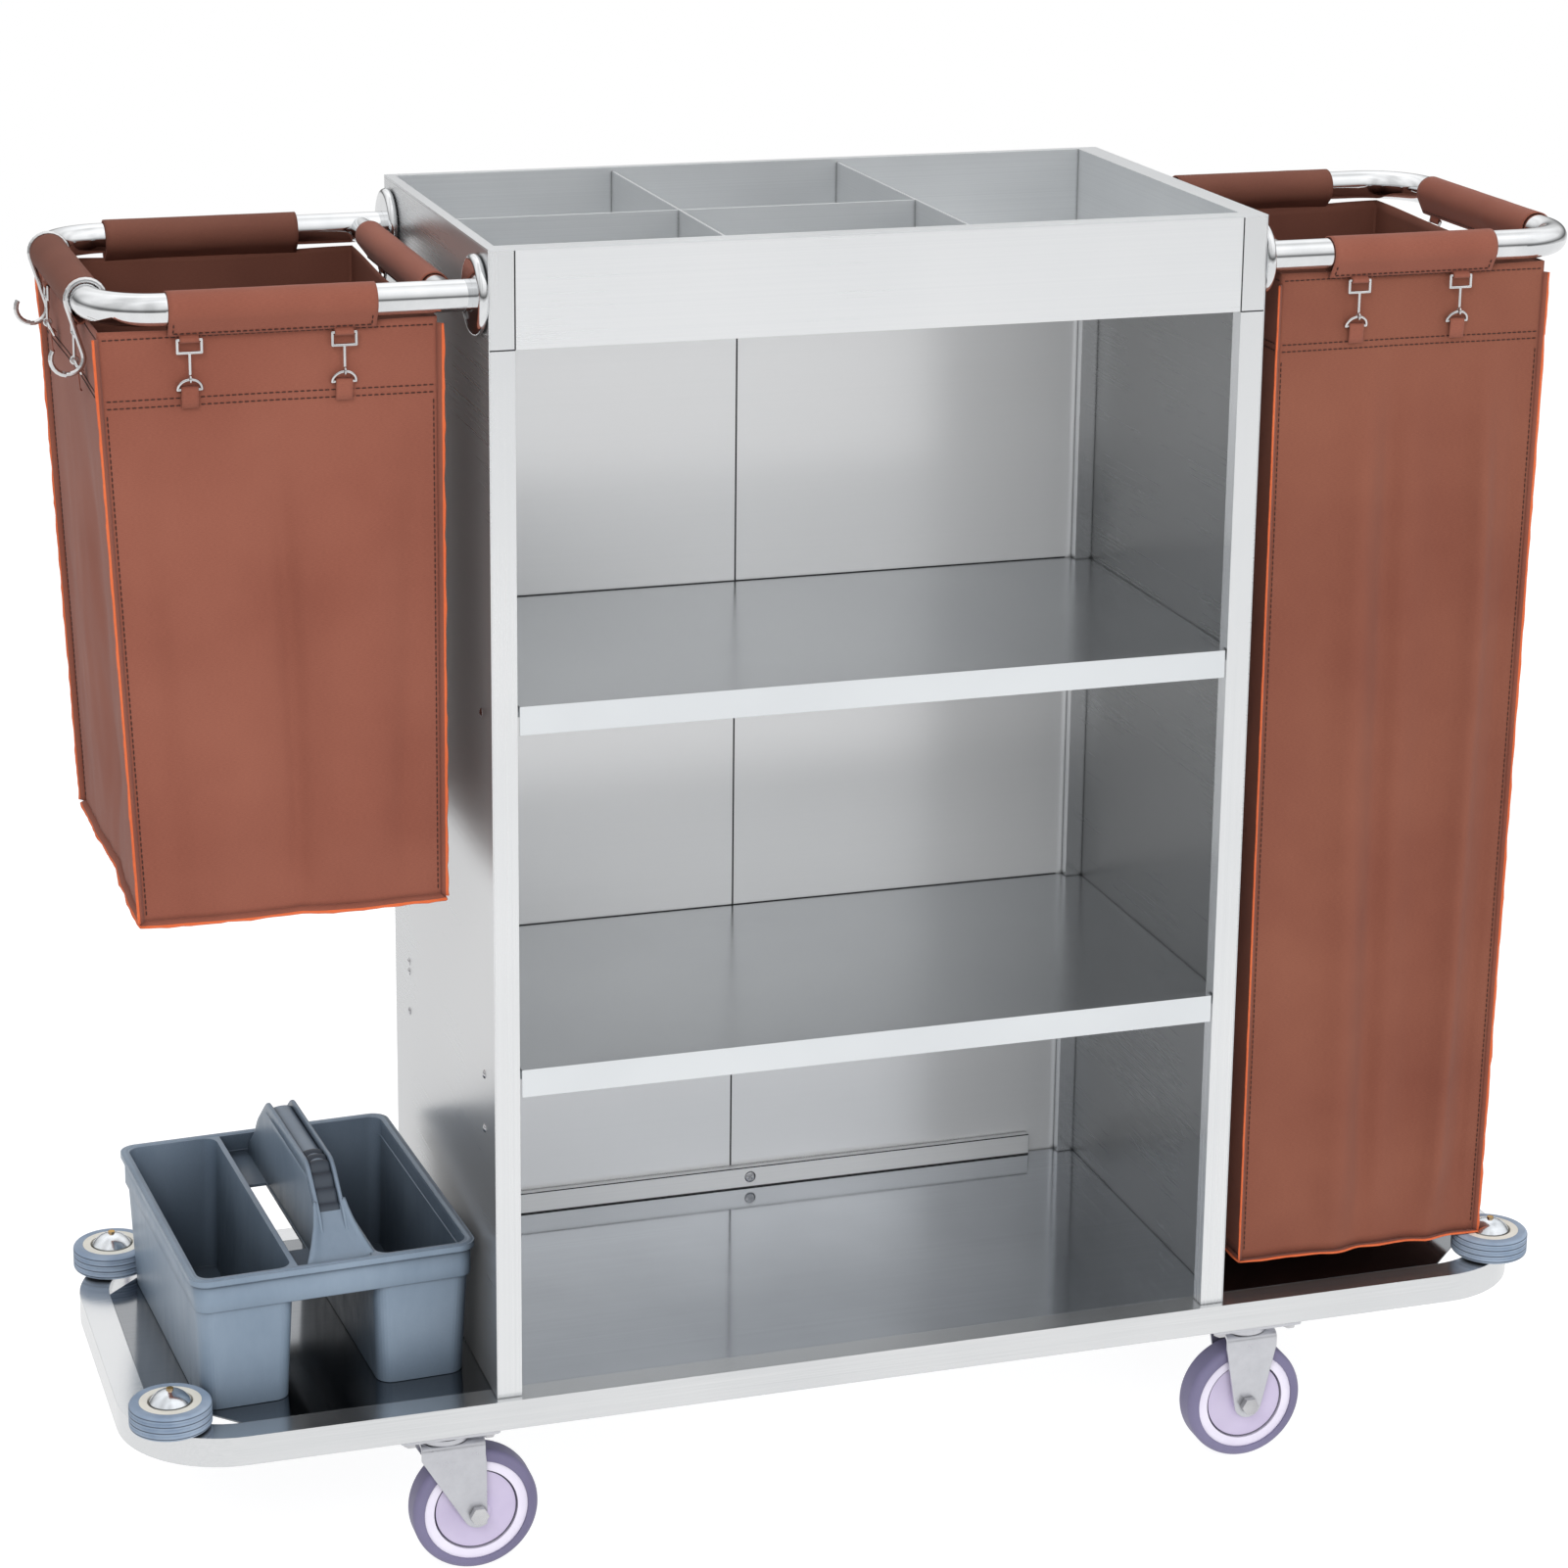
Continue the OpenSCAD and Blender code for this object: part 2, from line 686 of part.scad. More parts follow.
// Round wall flanges with a rolled outer edge
module handle_flanges() {
    edge = flange_t / 2;
    color("silver") for (side = [-1, 1], y = [handle_f, handle_b])
        translate([side < 0 ? cab_l : cab_r, y, handle_z]) rotate([0, side * 90, 0])
            rotate_extrude($fn = 96) {
                translate([handle_r + seat / 2, 0])
                    square([flange_d / 2 - edge - handle_r - seat / 2, flange_t]);
                translate([flange_d / 2 - edge, edge]) circle(edge);
            }
}

// ---------- bags and what they hang from ----------

// Section of a sleeve round a tube: a ring of cloth sewn shut in a flap under it
module sleeve_section(r, toward) {
    difference() {
        union() {
            circle(r + sleeve_t);
            translate([toward * flap_in - flap_t / 2, -flap_drop])
                square([flap_t, flap_drop]);
        }
        circle(r + seat / 2);
    }
}

// A sleeve along +X; toward is -1 where the flap hangs on the -Y side of the axis.
// lean swings the flap and its tabs in to a bag that hangs inside the bar.
module sleeve(length, r, toward, tabs, lean) {
    rotate([-toward * lean, 0, 0]) {
        rotate([90, 0, 90]) linear_extrude(length) sleeve_section(r, toward);
        for (t = tabs)
            translate([t - tab_w / 2, toward * flap_in - flap_t / 2, -flap_drop - tab_drop])
                cube([tab_w, flap_t, tab_drop + cut]);
    }
}

function lean_for(gap) = asin(gap / (flap_drop + tab_drop / 2 + hook_drop + ring_r));

module sleeves(side) {
    face = side < 0 ? cab_l : cab_r;
    bar = side < 0 ? left_bar_x : right_bar_x;
    cross = face + side * cross_bar_out;
    span = side < 0 ? left_sleeve : right_sleeve;
    hooks = side < 0 ? left_hooks : right_hooks;
    gaps = side < 0 ? left_gaps : right_gaps;
    x0 = side < 0 ? face - span[1] : face + span[0];
    color("sienna") {
        for (sy = [-1, 1])
            translate([x0, sy < 0 ? handle_f : handle_b, handle_z])
                sleeve(span[1] - span[0], handle_r, sy, [for (h = hooks) face + side * h - x0], 0);
        translate([bar, cab_f + end_sleeve[0], handle_z]) rotate([0, 0, 90])
            sleeve(end_sleeve[1] - end_sleeve[0], handle_r, -side,
                [for (h = end_hooks) h - end_sleeve[0]], lean_for(gaps[0]));
        translate([cross, cab_f + cross_sleeve[0], handle_z]) rotate([0, 0, 90])
            sleeve(cross_sleeve[1] - cross_sleeve[0], cross_bar_d / 2, side,
                [for (h = end_hooks) h - cross_sleeve[0]], lean_for(gaps[1]));
    }
}

// Wire of radius r through a list of points, with a ball at each bend
module wire(points, r) {
    for (i = [0:len(points) - 2]) {
        v = points[i + 1] - points[i];
        translate(points[i]) rotate([0, acos(v[2] / norm(v)), atan2(v[1], v[0])])
            cylinder(r = r, h = norm(v));
    }
    for (p = points) translate(p) sphere(r, $fn = 24);
}

// Snap hook: a rectangular loop at the cloth tab, a stem and an eye round the ring below
module snap_hook() {
    w = 11;
    loop_h = 12;
    eye_r = 3.4;
    wire([[0, 0, -hook_drop + eye_r], [0, 0, -loop_h], [-w, 0, -loop_h], [-w, 0, 0],
        [w, 0, 0], [w, 0, -loop_h], [1, 0, -loop_h]], wire_r);
    translate([0, 0, -hook_drop]) rotate([0, 90, 0])
        rotate_extrude() translate([eye_r, 0]) circle(1.1, $fn = 24);
}

// D-ring hung by its round side from the eye, its bar in_by nearer to the bag
module bag_ring(in_by) {
    translate([0, 0, -hook_drop - 0.5]) rotate([asin(in_by / ring_r), 0, 0])
        translate([0, 0, -ring_r]) {
            rotate([90, 0, 0]) rotate_extrude(angle = 180) translate([ring_r, 0])
                circle(wire_r, $fn = 24);
            wire([[-ring_r, 0, 0], [ring_r, 0, 0]], wire_r);
        }
}

// Hook and ring in the frame of a sleeve: x along the tube, -y away from the bag
module hook_set(lean) {
    rotate([lean, 0, 0]) translate([0, -hook_plane, -flap_drop - tab_drop / 2]) {
        snap_hook();
        bag_ring(hook_plane - face_in - wire_r - seat);
    }
}

module side_hooks(side) {
    face = side < 0 ? cab_l : cab_r;
    bar = side < 0 ? left_bar_x : right_bar_x;
    gaps = side < 0 ? left_gaps : right_gaps;
    for (h = side < 0 ? left_hooks : right_hooks, sy = [-1, 1])
        translate([face + side * h, sy < 0 ? handle_f : handle_b, handle_z])
            rotate([0, 0, sy < 0 ? 0 : 180]) hook_set(0);
    for (h = end_hooks) {
        translate([bar, cab_f + h, handle_z]) rotate([0, 0, side * 90])
            hook_set(lean_for(gaps[0]));
        translate([face + side * cross_bar_out, cab_f + h, handle_z])
            rotate([0, 0, -side * 90]) hook_set(lean_for(gaps[1]));
    }
}

module bag_hooks() {
    color("gainsboro") {
        side_hooks(-1);
        side_hooks(1);
    }
}

// Plain bag between a mouth and a floor, each [x0, x1, z], with its hollow open at the mouth
module bag(mouth, base) {
    color("sienna") difference() {
        bag_block(mouth, base, 0);
        bag_block(mouth + [0, 0, 2 * cut], base + [0, 0, cloth_t], cloth_t);
    }
}

module bag_block(mouth, base, inset) {
    translate([0, handle_b + face_in - inset, 0]) rotate([90, 0, 0])
        linear_extrude(handle_b - handle_f + 2 * (face_in - inset))
            polygon([[base[0] + inset, base[2]], [base[1] - inset, base[2]],
                [mouth[1] - inset, mouth[2]], [mouth[0] + inset, mouth[2]]]);
}

module left_bag() {
    x0 = left_bar_x + left_gaps[0] - face_in;
    x1 = cab_l - cross_bar_out - left_gaps[1] + face_in;
    bag([x0, x1, z_hem], [x0 + left_bag_lean, x1, z_deck + left_bag_lift]);
}

module right_bag() {
    x0 = cab_r + cross_bar_out + right_gaps[1] - face_in;
    x1 = right_bar_x - right_gaps[0] + face_in;
    bag([x0, x1, z_hem], [x0, x1 - right_bag_lean, z_deck + right_bag_lift]);
}

// ---------- caddy ----------

// A rounded block that narrows downwards
module tapered(w0, d0, z0, w1, d1, z1, r) {
    hull() {
        translate([0, 0, z0]) linear_extrude(cut) corner_points(w0, d0, r);
        translate([0, 0, z1 - cut]) linear_extrude(cut) corner_points(w1, d1, r);
    }
}

module corner_points(w, d, r) {
    for (x = [-1, 1], y = [-1, 1])
        translate([x * (w / 2 - r), y * (d / 2 - r)]) circle(r, $fn = 32);
}

// Two deep wells joined by a saddle, with a carrying ridge and a finger slot beside it
module caddy() {
    body_w = caddy_w - 2 * lip;
    body_d = caddy_d - 2 * lip;
    leg_w = (body_w - tunnel_w) / 2;
    leg_x = (tunnel_w + leg_w) / 2;
    saddle_z = leg_h + 12;
    ridge_w = 30;
    ridge_x = 8;
    slot_w = 24;
    slot_l = 170;
    run_up = 95;
    color("lightslategray") translate([caddy_x, caddy_y, z_deck + seat]) rotate(caddy_turn) {
        difference() {
            union() {
                for (s = [-1, 1]) translate([s * leg_x, 0, 0])
                    tapered(leg_w - draft, body_d - 2 * draft, 0, leg_w, body_d - 2, leg_h + 6, 16);
                translate([0, 0, leg_h]) linear_extrude(caddy_h - leg_h)
                    round_rect(body_w, body_d, 12);
                translate([0, 0, caddy_h - 6]) linear_extrude(6)
                    round_rect(caddy_w, caddy_d, 18);
            }
            for (s = [-1, 1]) translate([s * leg_x, 0, 0])
                tapered(leg_w - draft - 2 * caddy_wall, body_d - 2 * draft - 2 * caddy_wall,
                    caddy_wall, leg_w - 2 * caddy_wall + 1, body_d - 2 * caddy_wall,
                    caddy_h + cut, 13);
            translate([-tunnel_w / 2 + caddy_wall, -body_d / 2 + caddy_wall, saddle_z])
                cube([tunnel_w - 2 * caddy_wall, body_d - 2 * caddy_wall, caddy_h]);
            translate([-tunnel_w / 2 - 1, -body_d / 2 + caddy_wall, -cut])
                cube([tunnel_w + 2, body_d - 2 * caddy_wall, saddle_z - caddy_wall + cut]);
            translate([ridge_x - ridge_w / 2 - slot_w - 1, -slot_l / 2, saddle_z - 2 * caddy_wall])
                cube([slot_w, slot_l, 3 * caddy_wall]);
            translate([ridge_x - ridge_w / 2 + caddy_wall, -body_d / 2 + 30, 0])
                cube([ridge_w - 2 * caddy_wall, body_d - 60, saddle_z + 1]);
        }
        difference() {
            ridge(ridge_x, ridge_w, body_d / 2 - caddy_wall, run_up, saddle_z - caddy_wall, ridge_h);
            ridge(ridge_x, ridge_w - 2 * caddy_wall, body_d / 2 - 30, run_up - 20,
                saddle_z - caddy_wall - cut, ridge_h - caddy_wall);
        }
        translate([-leg_x - leg_w / 2 + 4, -body_d / 2 + 62, caddy_wall - 0.5])
            cube([leg_w - 8, caddy_wall, leg_h - 12]);
    }
}

// Ridge along Y: ramps up at both ends to a level grip with a rounded top
module ridge(x, w, half_l, run_up, z0, z1) {
    r = w / 2;
    translate([x, 0, 0]) intersection() {
        rotate([90, 0, 90]) linear_extrude(w + 2 * cut, center = true)
            polygon([[-half_l, z0], [-half_l, z0 + 12], [-half_l + run_up, z1],
                [half_l - run_up, z1], [half_l, z0 + 12], [half_l, z0]]);
        rotate([90, 0, 0]) linear_extrude(2 * half_l + 2 * cut, center = true) {
            translate([-r, 0]) square([w, z1 - r]);
            translate([0, z1 - r]) circle(r);
        }
    }
}

// ---------- S-hooks ----------

// Round wire in the XZ plane: a loop over the bar, a straight run that crosses to the lower
// loop, and that loop's open end. Each step is [x, z, direction of the ring's first point].
module s_hook(y) {
    low = [-s_out, -s_down];
    across = atan2(low[1], low[0]) + 360;
    half = acos((s_upper_r + s_lower_r) / norm(low));
    upper_end = across - half;
    lower_end = across - 180 - half;
    inner_tip = -20;
    outer_tip = -210;
    steps = 14;
    path = concat(
        [for (i = [0:steps]) let (t = inner_tip + (upper_end - inner_tip) * i / steps)
            [s_upper_r * cos(t), s_upper_r * sin(t), t]],
        [for (i = [0:steps]) let (t = lower_end + (outer_tip - lower_end) * i / steps)
            [low[0] + s_lower_r * cos(t), low[1] + s_lower_r * sin(t), t + 180]]);
    color("silver") translate([left_bar_x, y, handle_z]) wire_sweep(path, s_wire_r, 10);
}

// Closed tube of the given number of sides along a path in the XZ plane
module wire_sweep(path, r, sides) {
    last = len(path) - 1;
    points = [for (p = path, k = [0:sides - 1]) let (a = 360 * k / sides)
        [p[0] + r * cos(a) * cos(p[2]), r * sin(a), p[1] + r * cos(a) * sin(p[2])]];
    walls = [for (i = [0:last - 1], k = [0:sides - 1]) let (n = (k + 1) % sides)
        [i * sides + k, (i + 1) * sides + k, (i + 1) * sides + n, i * sides + n]];
    ends = [[for (k = [0:sides - 1]) k], [for (k = [sides - 1:-1:0]) last * sides + k]];
    polyhedron(points, concat(walls, ends));
}

module front_s_hook() {
    s_hook(cab_f + end_sleeve[0] - s_wire_r - 7.5);
}

module rear_s_hook() {
    s_hook(cab_f + end_sleeve[1] + s_wire_r + 2);
}

// ---------- the nodes ----------

base_frame();
deck_sheet();
bumper_tyre(-1, -1);  // left_front_bumper_tyre
bumper_tyre(-1, 1);  // left_rear_bumper_tyre
bumper_tyre(1, -1);  // right_front_bumper_tyre
bumper_tyre(1, 1);  // right_rear_bumper_tyre
bumper_hub(-1, -1);  // left_front_bumper_hub
bumper_hub(-1, 1);  // left_rear_bumper_hub
bumper_hub(1, -1);  // right_front_bumper_hub
bumper_hub(1, 1);  // right_rear_bumper_hub
bumper_studs();
bumper_caps();
caster_plates();
caster_bolts();
swivel_bearings();
kingpins();
swivel_fork(-1);  // left_front_fork
swivel_fork(1);  // left_rear_fork
rigid_fork(-1);  // right_front_fork
rigid_fork(1);  // right_rear_fork
axle(-1, -1);  // left_front_axle
axle(-1, 1);  // left_rear_axle
axle(1, -1);  // right_front_axle
axle(1, 1);  // right_rear_axle
wheel_core(-1, -1);  // left_front_wheel_core
wheel_core(-1, 1);  // left_rear_wheel_core
wheel_core(1, -1);  // right_front_wheel_core
wheel_core(1, 1);  // right_rear_wheel_core
tyre(-1, -1);  // left_front_tyre
tyre(-1, 1);  // left_rear_tyre
tyre(1, -1);  // right_front_tyre
tyre(1, 1);  // right_rear_tyre
front_post(inner_l);  // left_front_post
front_post(cab_r - post_w);  // right_front_post
rear_post(inner_l);  // left_rear_post
rear_post(cab_r - rear_post_w);  // right_rear_post
side_panel(cab_l);  // left_side_panel
side_panel(inner_r);  // right_side_panel
back_panel(cab_l + rear_post_w, cab_l + seam_x);  // left_back_panel
back_panel(cab_l + seam_x, cab_r - rear_post_w);  // right_back_panel
header();
tray_corner_blocks();
tray_pan();
tray_dividers();
shelf(shelf_tops[0]);  // lower_shelf
shelf(shelf_tops[1]);  // upper_shelf
floor_rail();
panel_screws();
handle(-1);  // left_handle
handle(1);  // right_handle
cross_bars();
handle_flanges();
sleeves(-1);  // left_sleeves
sleeves(1);  // right_sleeves
bag_hooks();
left_bag();
right_bag();
caddy();
front_s_hook();
rear_s_hook();
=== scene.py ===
# Housekeeping cart: finishes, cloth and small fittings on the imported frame
import bpy
import math
import numpy as np
from mathutils import Matrix, Vector, noise


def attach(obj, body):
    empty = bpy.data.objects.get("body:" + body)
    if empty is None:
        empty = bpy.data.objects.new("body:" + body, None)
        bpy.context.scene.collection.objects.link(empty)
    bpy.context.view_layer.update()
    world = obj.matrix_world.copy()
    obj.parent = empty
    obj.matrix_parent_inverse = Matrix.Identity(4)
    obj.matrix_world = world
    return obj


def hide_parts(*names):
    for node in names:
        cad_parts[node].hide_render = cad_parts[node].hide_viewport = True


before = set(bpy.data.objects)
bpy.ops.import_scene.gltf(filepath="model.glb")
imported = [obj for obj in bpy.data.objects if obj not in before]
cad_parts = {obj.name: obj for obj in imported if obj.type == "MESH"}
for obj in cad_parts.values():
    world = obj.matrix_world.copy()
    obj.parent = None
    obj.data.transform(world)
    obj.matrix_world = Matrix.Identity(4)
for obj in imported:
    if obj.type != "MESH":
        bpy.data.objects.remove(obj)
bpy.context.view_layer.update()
print("frame loaded")

# Where the camera stands, in metres and radians
view = {
    "place": (-1.2083, -3.67206, 1.96685),
    "turn": 0.31313,      # towards +X, radians
    "tilt": 0.25663,      # down
    "roll": 0.01114,
    "lens": 90.874,
    "shiftUp": -0.14,
}


def makeCamera(c):
    data = bpy.data.cameras.new("photoView")
    data.lens = c["lens"]
    data.sensor_width = 36
    data.shift_y = c["shiftUp"]
    data.clip_end = 60
    camera = bpy.data.objects.new("photoView", data)
    turn = Matrix.Rotation(-c["turn"], 4, "Z") @ Matrix.Rotation(math.pi / 2 - c["tilt"], 4, "X")
    camera.matrix_world = Matrix.Translation(c["place"]) @ turn @ Matrix.Rotation(c["roll"], 4, "Z")
    bpy.context.scene.collection.objects.link(camera)
    bpy.context.scene.camera = camera


makeCamera(view)
bpy.context.scene.view_settings.view_transform = "Standard"
print("camera placed")


def blankMaterial(name):
    m = bpy.data.materials.new(name)
    m.use_nodes = True
    m.node_tree.nodes.clear()
    out = m.node_tree.nodes.new("ShaderNodeOutputMaterial")
    body = m.node_tree.nodes.new("ShaderNodeBsdfPrincipled")
    m.node_tree.links.new(body.outputs[0], out.inputs["Surface"])
    return m, body


def addNode(m, kind, **values):
    n = m.node_tree.nodes.new("ShaderNode" + kind)
    for key, value in values.items():
        setattr(n, key, value)
    return n


def join(m, a, b):
    m.node_tree.links.new(a, b)


def placeIn(m, source="Object", scale=(1, 1, 1), turn=(0, 0, 0)):
    spot = addNode(m, "TexCoord")
    fit = addNode(m, "Mapping")
    fit.inputs["Scale"].default_value = scale
    fit.inputs["Rotation"].default_value = turn
    join(m, spot.outputs[source], fit.inputs["Vector"])
    return fit.outputs["Vector"]


def speckle(m, where, scale, detail=2.0, rough=0.5):
    n = addNode(m, "TexNoise")
    n.inputs["Scale"].default_value = scale
    n.inputs["Detail"].default_value = detail
    n.inputs["Roughness"].default_value = rough
    join(m, where, n.inputs["Vector"])
    return n.outputs["Fac"]


def spread(m, value, low, high, inLow=0.3, inHigh=0.7):
    n = addNode(m, "MapRange")
    n.inputs["From Min"].default_value = inLow
    n.inputs["From Max"].default_value = inHigh
    n.inputs["To Min"].default_value = low
    n.inputs["To Max"].default_value = high
    join(m, value, n.inputs["Value"])
    return n.outputs["Result"]


def tint(m, value, a, b):
    n = addNode(m, "Mix", data_type="RGBA")
    n.inputs["A"].default_value = (*a, 1)
    n.inputs["B"].default_value = (*b, 1)
    join(m, value, n.inputs["Factor"])
    return n.outputs["Result"]


def sums(m, kind, a, b):
    n = addNode(m, "Math", operation=kind)
    for socket, v in zip(n.inputs, (a, b)):
        if isinstance(v, (int, float)):
            socket.default_value = v
        else:
            join(m, v, socket)
    return n.outputs[0]


def relief(m, body, height, strength, distance, edge=0.0):
    n = addNode(m, "Bump")
    n.inputs["Strength"].default_value = strength
    n.inputs["Distance"].default_value = distance
    join(m, height, n.inputs["Height"])
    if edge:
        soft = addNode(m, "Bevel", samples=4)
        soft.inputs["Radius"].default_value = edge
        join(m, soft.outputs["Normal"], n.inputs["Normal"])
    join(m, n.outputs["Normal"], body.inputs["Normal"])


# sRGB to the linear values that the shaders take
def lin(*c):
    return tuple(v / 12.92 if v <= 0.04045 else ((v + 0.055) / 1.055) ** 2.4 for v in c)


def hexTint(word):
    return lin(*(int(word[i:i + 2], 16) / 255 for i in (0, 2, 4)))


steelKinds = {
    # name: light tint, dark tint, low and high roughness, grain scale along x, y, z, metal share,
    # grain depth
    "panel": (hexTint("f4f5f6"), hexTint("eaecee"), 0.25, 0.29, (0.5, 0.5, 380), 0.80, 0.0012),
    "back": (hexTint("fdfdfe"), hexTint("f9fafb"), 0.215, 0.225, (0.5, 0.5, 300), 0.40, 0.0),
    "rail": (hexTint("ffffff"), hexTint("f4f5f6"), 0.3, 0.34, (0.5, 0.5, 300), 0.3, 0.001),
    "upright": (hexTint("f2f3f4"), hexTint("e2e4e6"), 0.18, 0.26, (800, 800, 0.5), 0.9, 0.003),
    "shelf": (hexTint("c9ccce"), hexTint("b9bcbf"), 0.15, 0.21, (0.5, 800, 0.5), 0.9, 0.003),
    "deck": (hexTint("9a9da1"), hexTint("84878b"), 0.06, 0.12, (0.5, 700, 0.5), 1.0, 0.003),
    "tray": (hexTint("eceeef"), hexTint("d9dbdd"), 0.28, 0.36, (0.6, 0.6, 800), 0.78, 0.003),
    "tube": (hexTint("eaebec"), hexTint("d8dadc"), 0.14, 0.24, (4, 700, 700), 0.95, 0.004),
    "zinc": (hexTint("dcdde2"), hexTint("c0c1c7"), 0.24, 0.38, (60, 60, 60), 0.92, 0.02),
}


# mask(m) gives 0 where the sheet takes a copy of its tints times shade (painted light where shade is above
# 1, painted shade where it is below 1), 1 where it keeps its own
def steel(name, kind, mask=None, shade=1.0):
    light, dark, low, high, grain, metal, depth = kind
    m, body = blankMaterial(name)
    body.inputs["Metallic"].default_value = metal
    brushed = speckle(m, placeIn(m, scale=grain), 1.0, 4.0, 0.65)
    cloud = speckle(m, placeIn(m), 4.0, 3.0)
    # painted shade: ambient occlusion darkens the steel towards a fifth of its dark tint in seams, creases
    # and corners between parts
    nearby = addNode(m, "AmbientOcclusion", samples=6)
    nearby.inputs["Distance"].default_value = 0.005
    seamShade = spread(m, nearby.outputs["AO"], 0.12, 1.0, 0.42, 0.72)
    mixed = addNode(m, "Mix", data_type="RGBA")
    tone = sums(m, "ADD", sums(m, "MULTIPLY", spread(m, brushed, 0, 1), 0.45),
                sums(m, "MULTIPLY", spread(m, cloud, 0, 1), 0.55))
    join(m, seamShade, mixed.inputs["Factor"])
    mixed.inputs["A"].default_value = (*(v * 0.2 for v in dark), 1)
    own = tint(m, tone, dark, light)
    if mask:
        two = addNode(m, "Mix", data_type="RGBA")
        join(m, mask(m), two.inputs["Factor"])
        paintedLightShadeCopy = tint(m, tone, [v * shade for v in dark], [v * shade for v in light])
        join(m, paintedLightShadeCopy, two.inputs["A"])
        join(m, own, two.inputs["B"])
        own = two.outputs["Result"]
    join(m, own, mixed.inputs["B"])
    join(m, mixed.outputs["Result"], body.inputs["Base Color"])
    rough = sums(m, "ADD", spread(m, brushed, low, high), spread(m, cloud, 0.0, 0.04))
    join(m, rough, body.inputs["Roughness"])
    relief(m, body, brushed, depth, 0.0005, 0.0009)
    return m


# Middles of the round pieces and of the cabinet, where their finishes change; the cabinet's middle and half
# width mark where the deck takes painted light
middles = {
    "cabinet": 0.00925, "cabinetHalf": 0.385,
    "wheelHigh": 0.0635, "wheels": {"left": -0.39375, "right": 0.43525},
    "base": 0.01425, "bumperOut": 0.705175, "bumperDeep": 0.188175,
}


def axisOf(m, what, axis):
    split = addNode(m, "SeparateXYZ")
    if what == "normal":
        join(m, addNode(m, "NewGeometry").outputs["Normal"], split.inputs[0])
    else:
        join(m, placeIn(m), split.inputs[0])
    return split.outputs[axis]


# painted light: 0 inside the cabinet, where the deck sheet takes a lighter copy of its steel for the light
# that its floor reflects
def cabinetFloorLightMask(m):
    away = sums(m, "ABSOLUTE", sums(m, "SUBTRACT", axisOf(m, "place", "X"), middles["cabinet"]), 0)
    return spread(m, away, 0.0, 1.0, middles["cabinetHalf"] - 0.0005, middles["cabinetHalf"] + 0.0005)


# painted shade: 0 on faces turned towards -X, which take a darker copy of the panel steel
def leftFacingShadeMask(m):
    return spread(m, axisOf(m, "normal", "X"), 0.0, 1.0, -0.4, 0.2)


# painted highlight: 0 on faces turned to the front, where the shelves' lips take a lighter copy of their
# steel
def frontFacingLitMask(m):
    return spread(m, axisOf(m, "normal", "Y"), 0.0, 1.0, -0.8, -0.5)


# Distance from an axis, in metres: from values along two axes less the axis's place
def radius(m, a, b):
    return sums(m, "SQRT", sums(m, "ADD", sums(m, "MULTIPLY", a, a), sums(m, "MULTIPLY", b, b)), 0)


# Moulded or plated piece of rings round an axis: the tint changes at each ring's radius
def ringed(name, middle, rings, roughness, metal=0.0):
    m, body = blankMaterial(name)
    body.inputs["Metallic"].default_value = metal
    away = middle(m)
    cloud = speckle(m, placeIn(m), 14.0, 4.0)
    fine = speckle(m, placeIn(m), 900.0, 3.0)
    colour = None
    for start, light, dark in rings:
        now = tint(m, spread(m, cloud, 0, 1), dark, light)
        if colour is not None:
            step = addNode(m, "Mix", data_type="RGBA")
            join(m, spread(m, away, 0.0, 1.0, start - 0.0002, start + 0.0002), step.inputs["Factor"])
            join(m, colour, step.inputs["A"])
            join(m, now, step.inputs["B"])
            now = step.outputs["Result"]
        colour = now
    join(m, colour, body.inputs["Base Color"])
    join(m, spread(m, cloud, roughness, roughness + 0.12), body.inputs["Roughness"])
    relief(m, body, fine, 0.06, 0.0004, 0.0008)
    return m


def wheelMiddle(x):
    return lambda m: radius(m, sums(m, "SUBTRACT", axisOf(m, "place", "X"), x),
                            sums(m, "SUBTRACT", axisOf(m, "place", "Z"), middles["wheelHigh"]))


def bumperMiddle(m):
    along = sums(m, "ABSOLUTE", sums(m, "SUBTRACT", axisOf(m, "place", "X"), middles["base"]), 0)
    across = sums(m, "ABSOLUTE", axisOf(m, "place", "Y"), 0)
    return radius(m, sums(m, "SUBTRACT", along, middles["bumperOut"]),
                  sums(m, "SUBTRACT", across, middles["bumperDeep"]))


def chrome(name, light, dark, roughness):
    m, body = blankMaterial(name)
    body.inputs["Metallic"].default_value = 1
    cloud = speckle(m, placeIn(m), 22.0, 4.0)
    fine = speckle(m, placeIn(m), 420.0, 2.0)
    join(m, tint(m, spread(m, cloud, 0, 1), dark, light), body.inputs["Base Color"])
    join(m, spread(m, cloud, roughness, roughness + 0.08), body.inputs["Roughness"])
    relief(m, body, fine, 0.02, 0.0003, 0.0005)
    return m


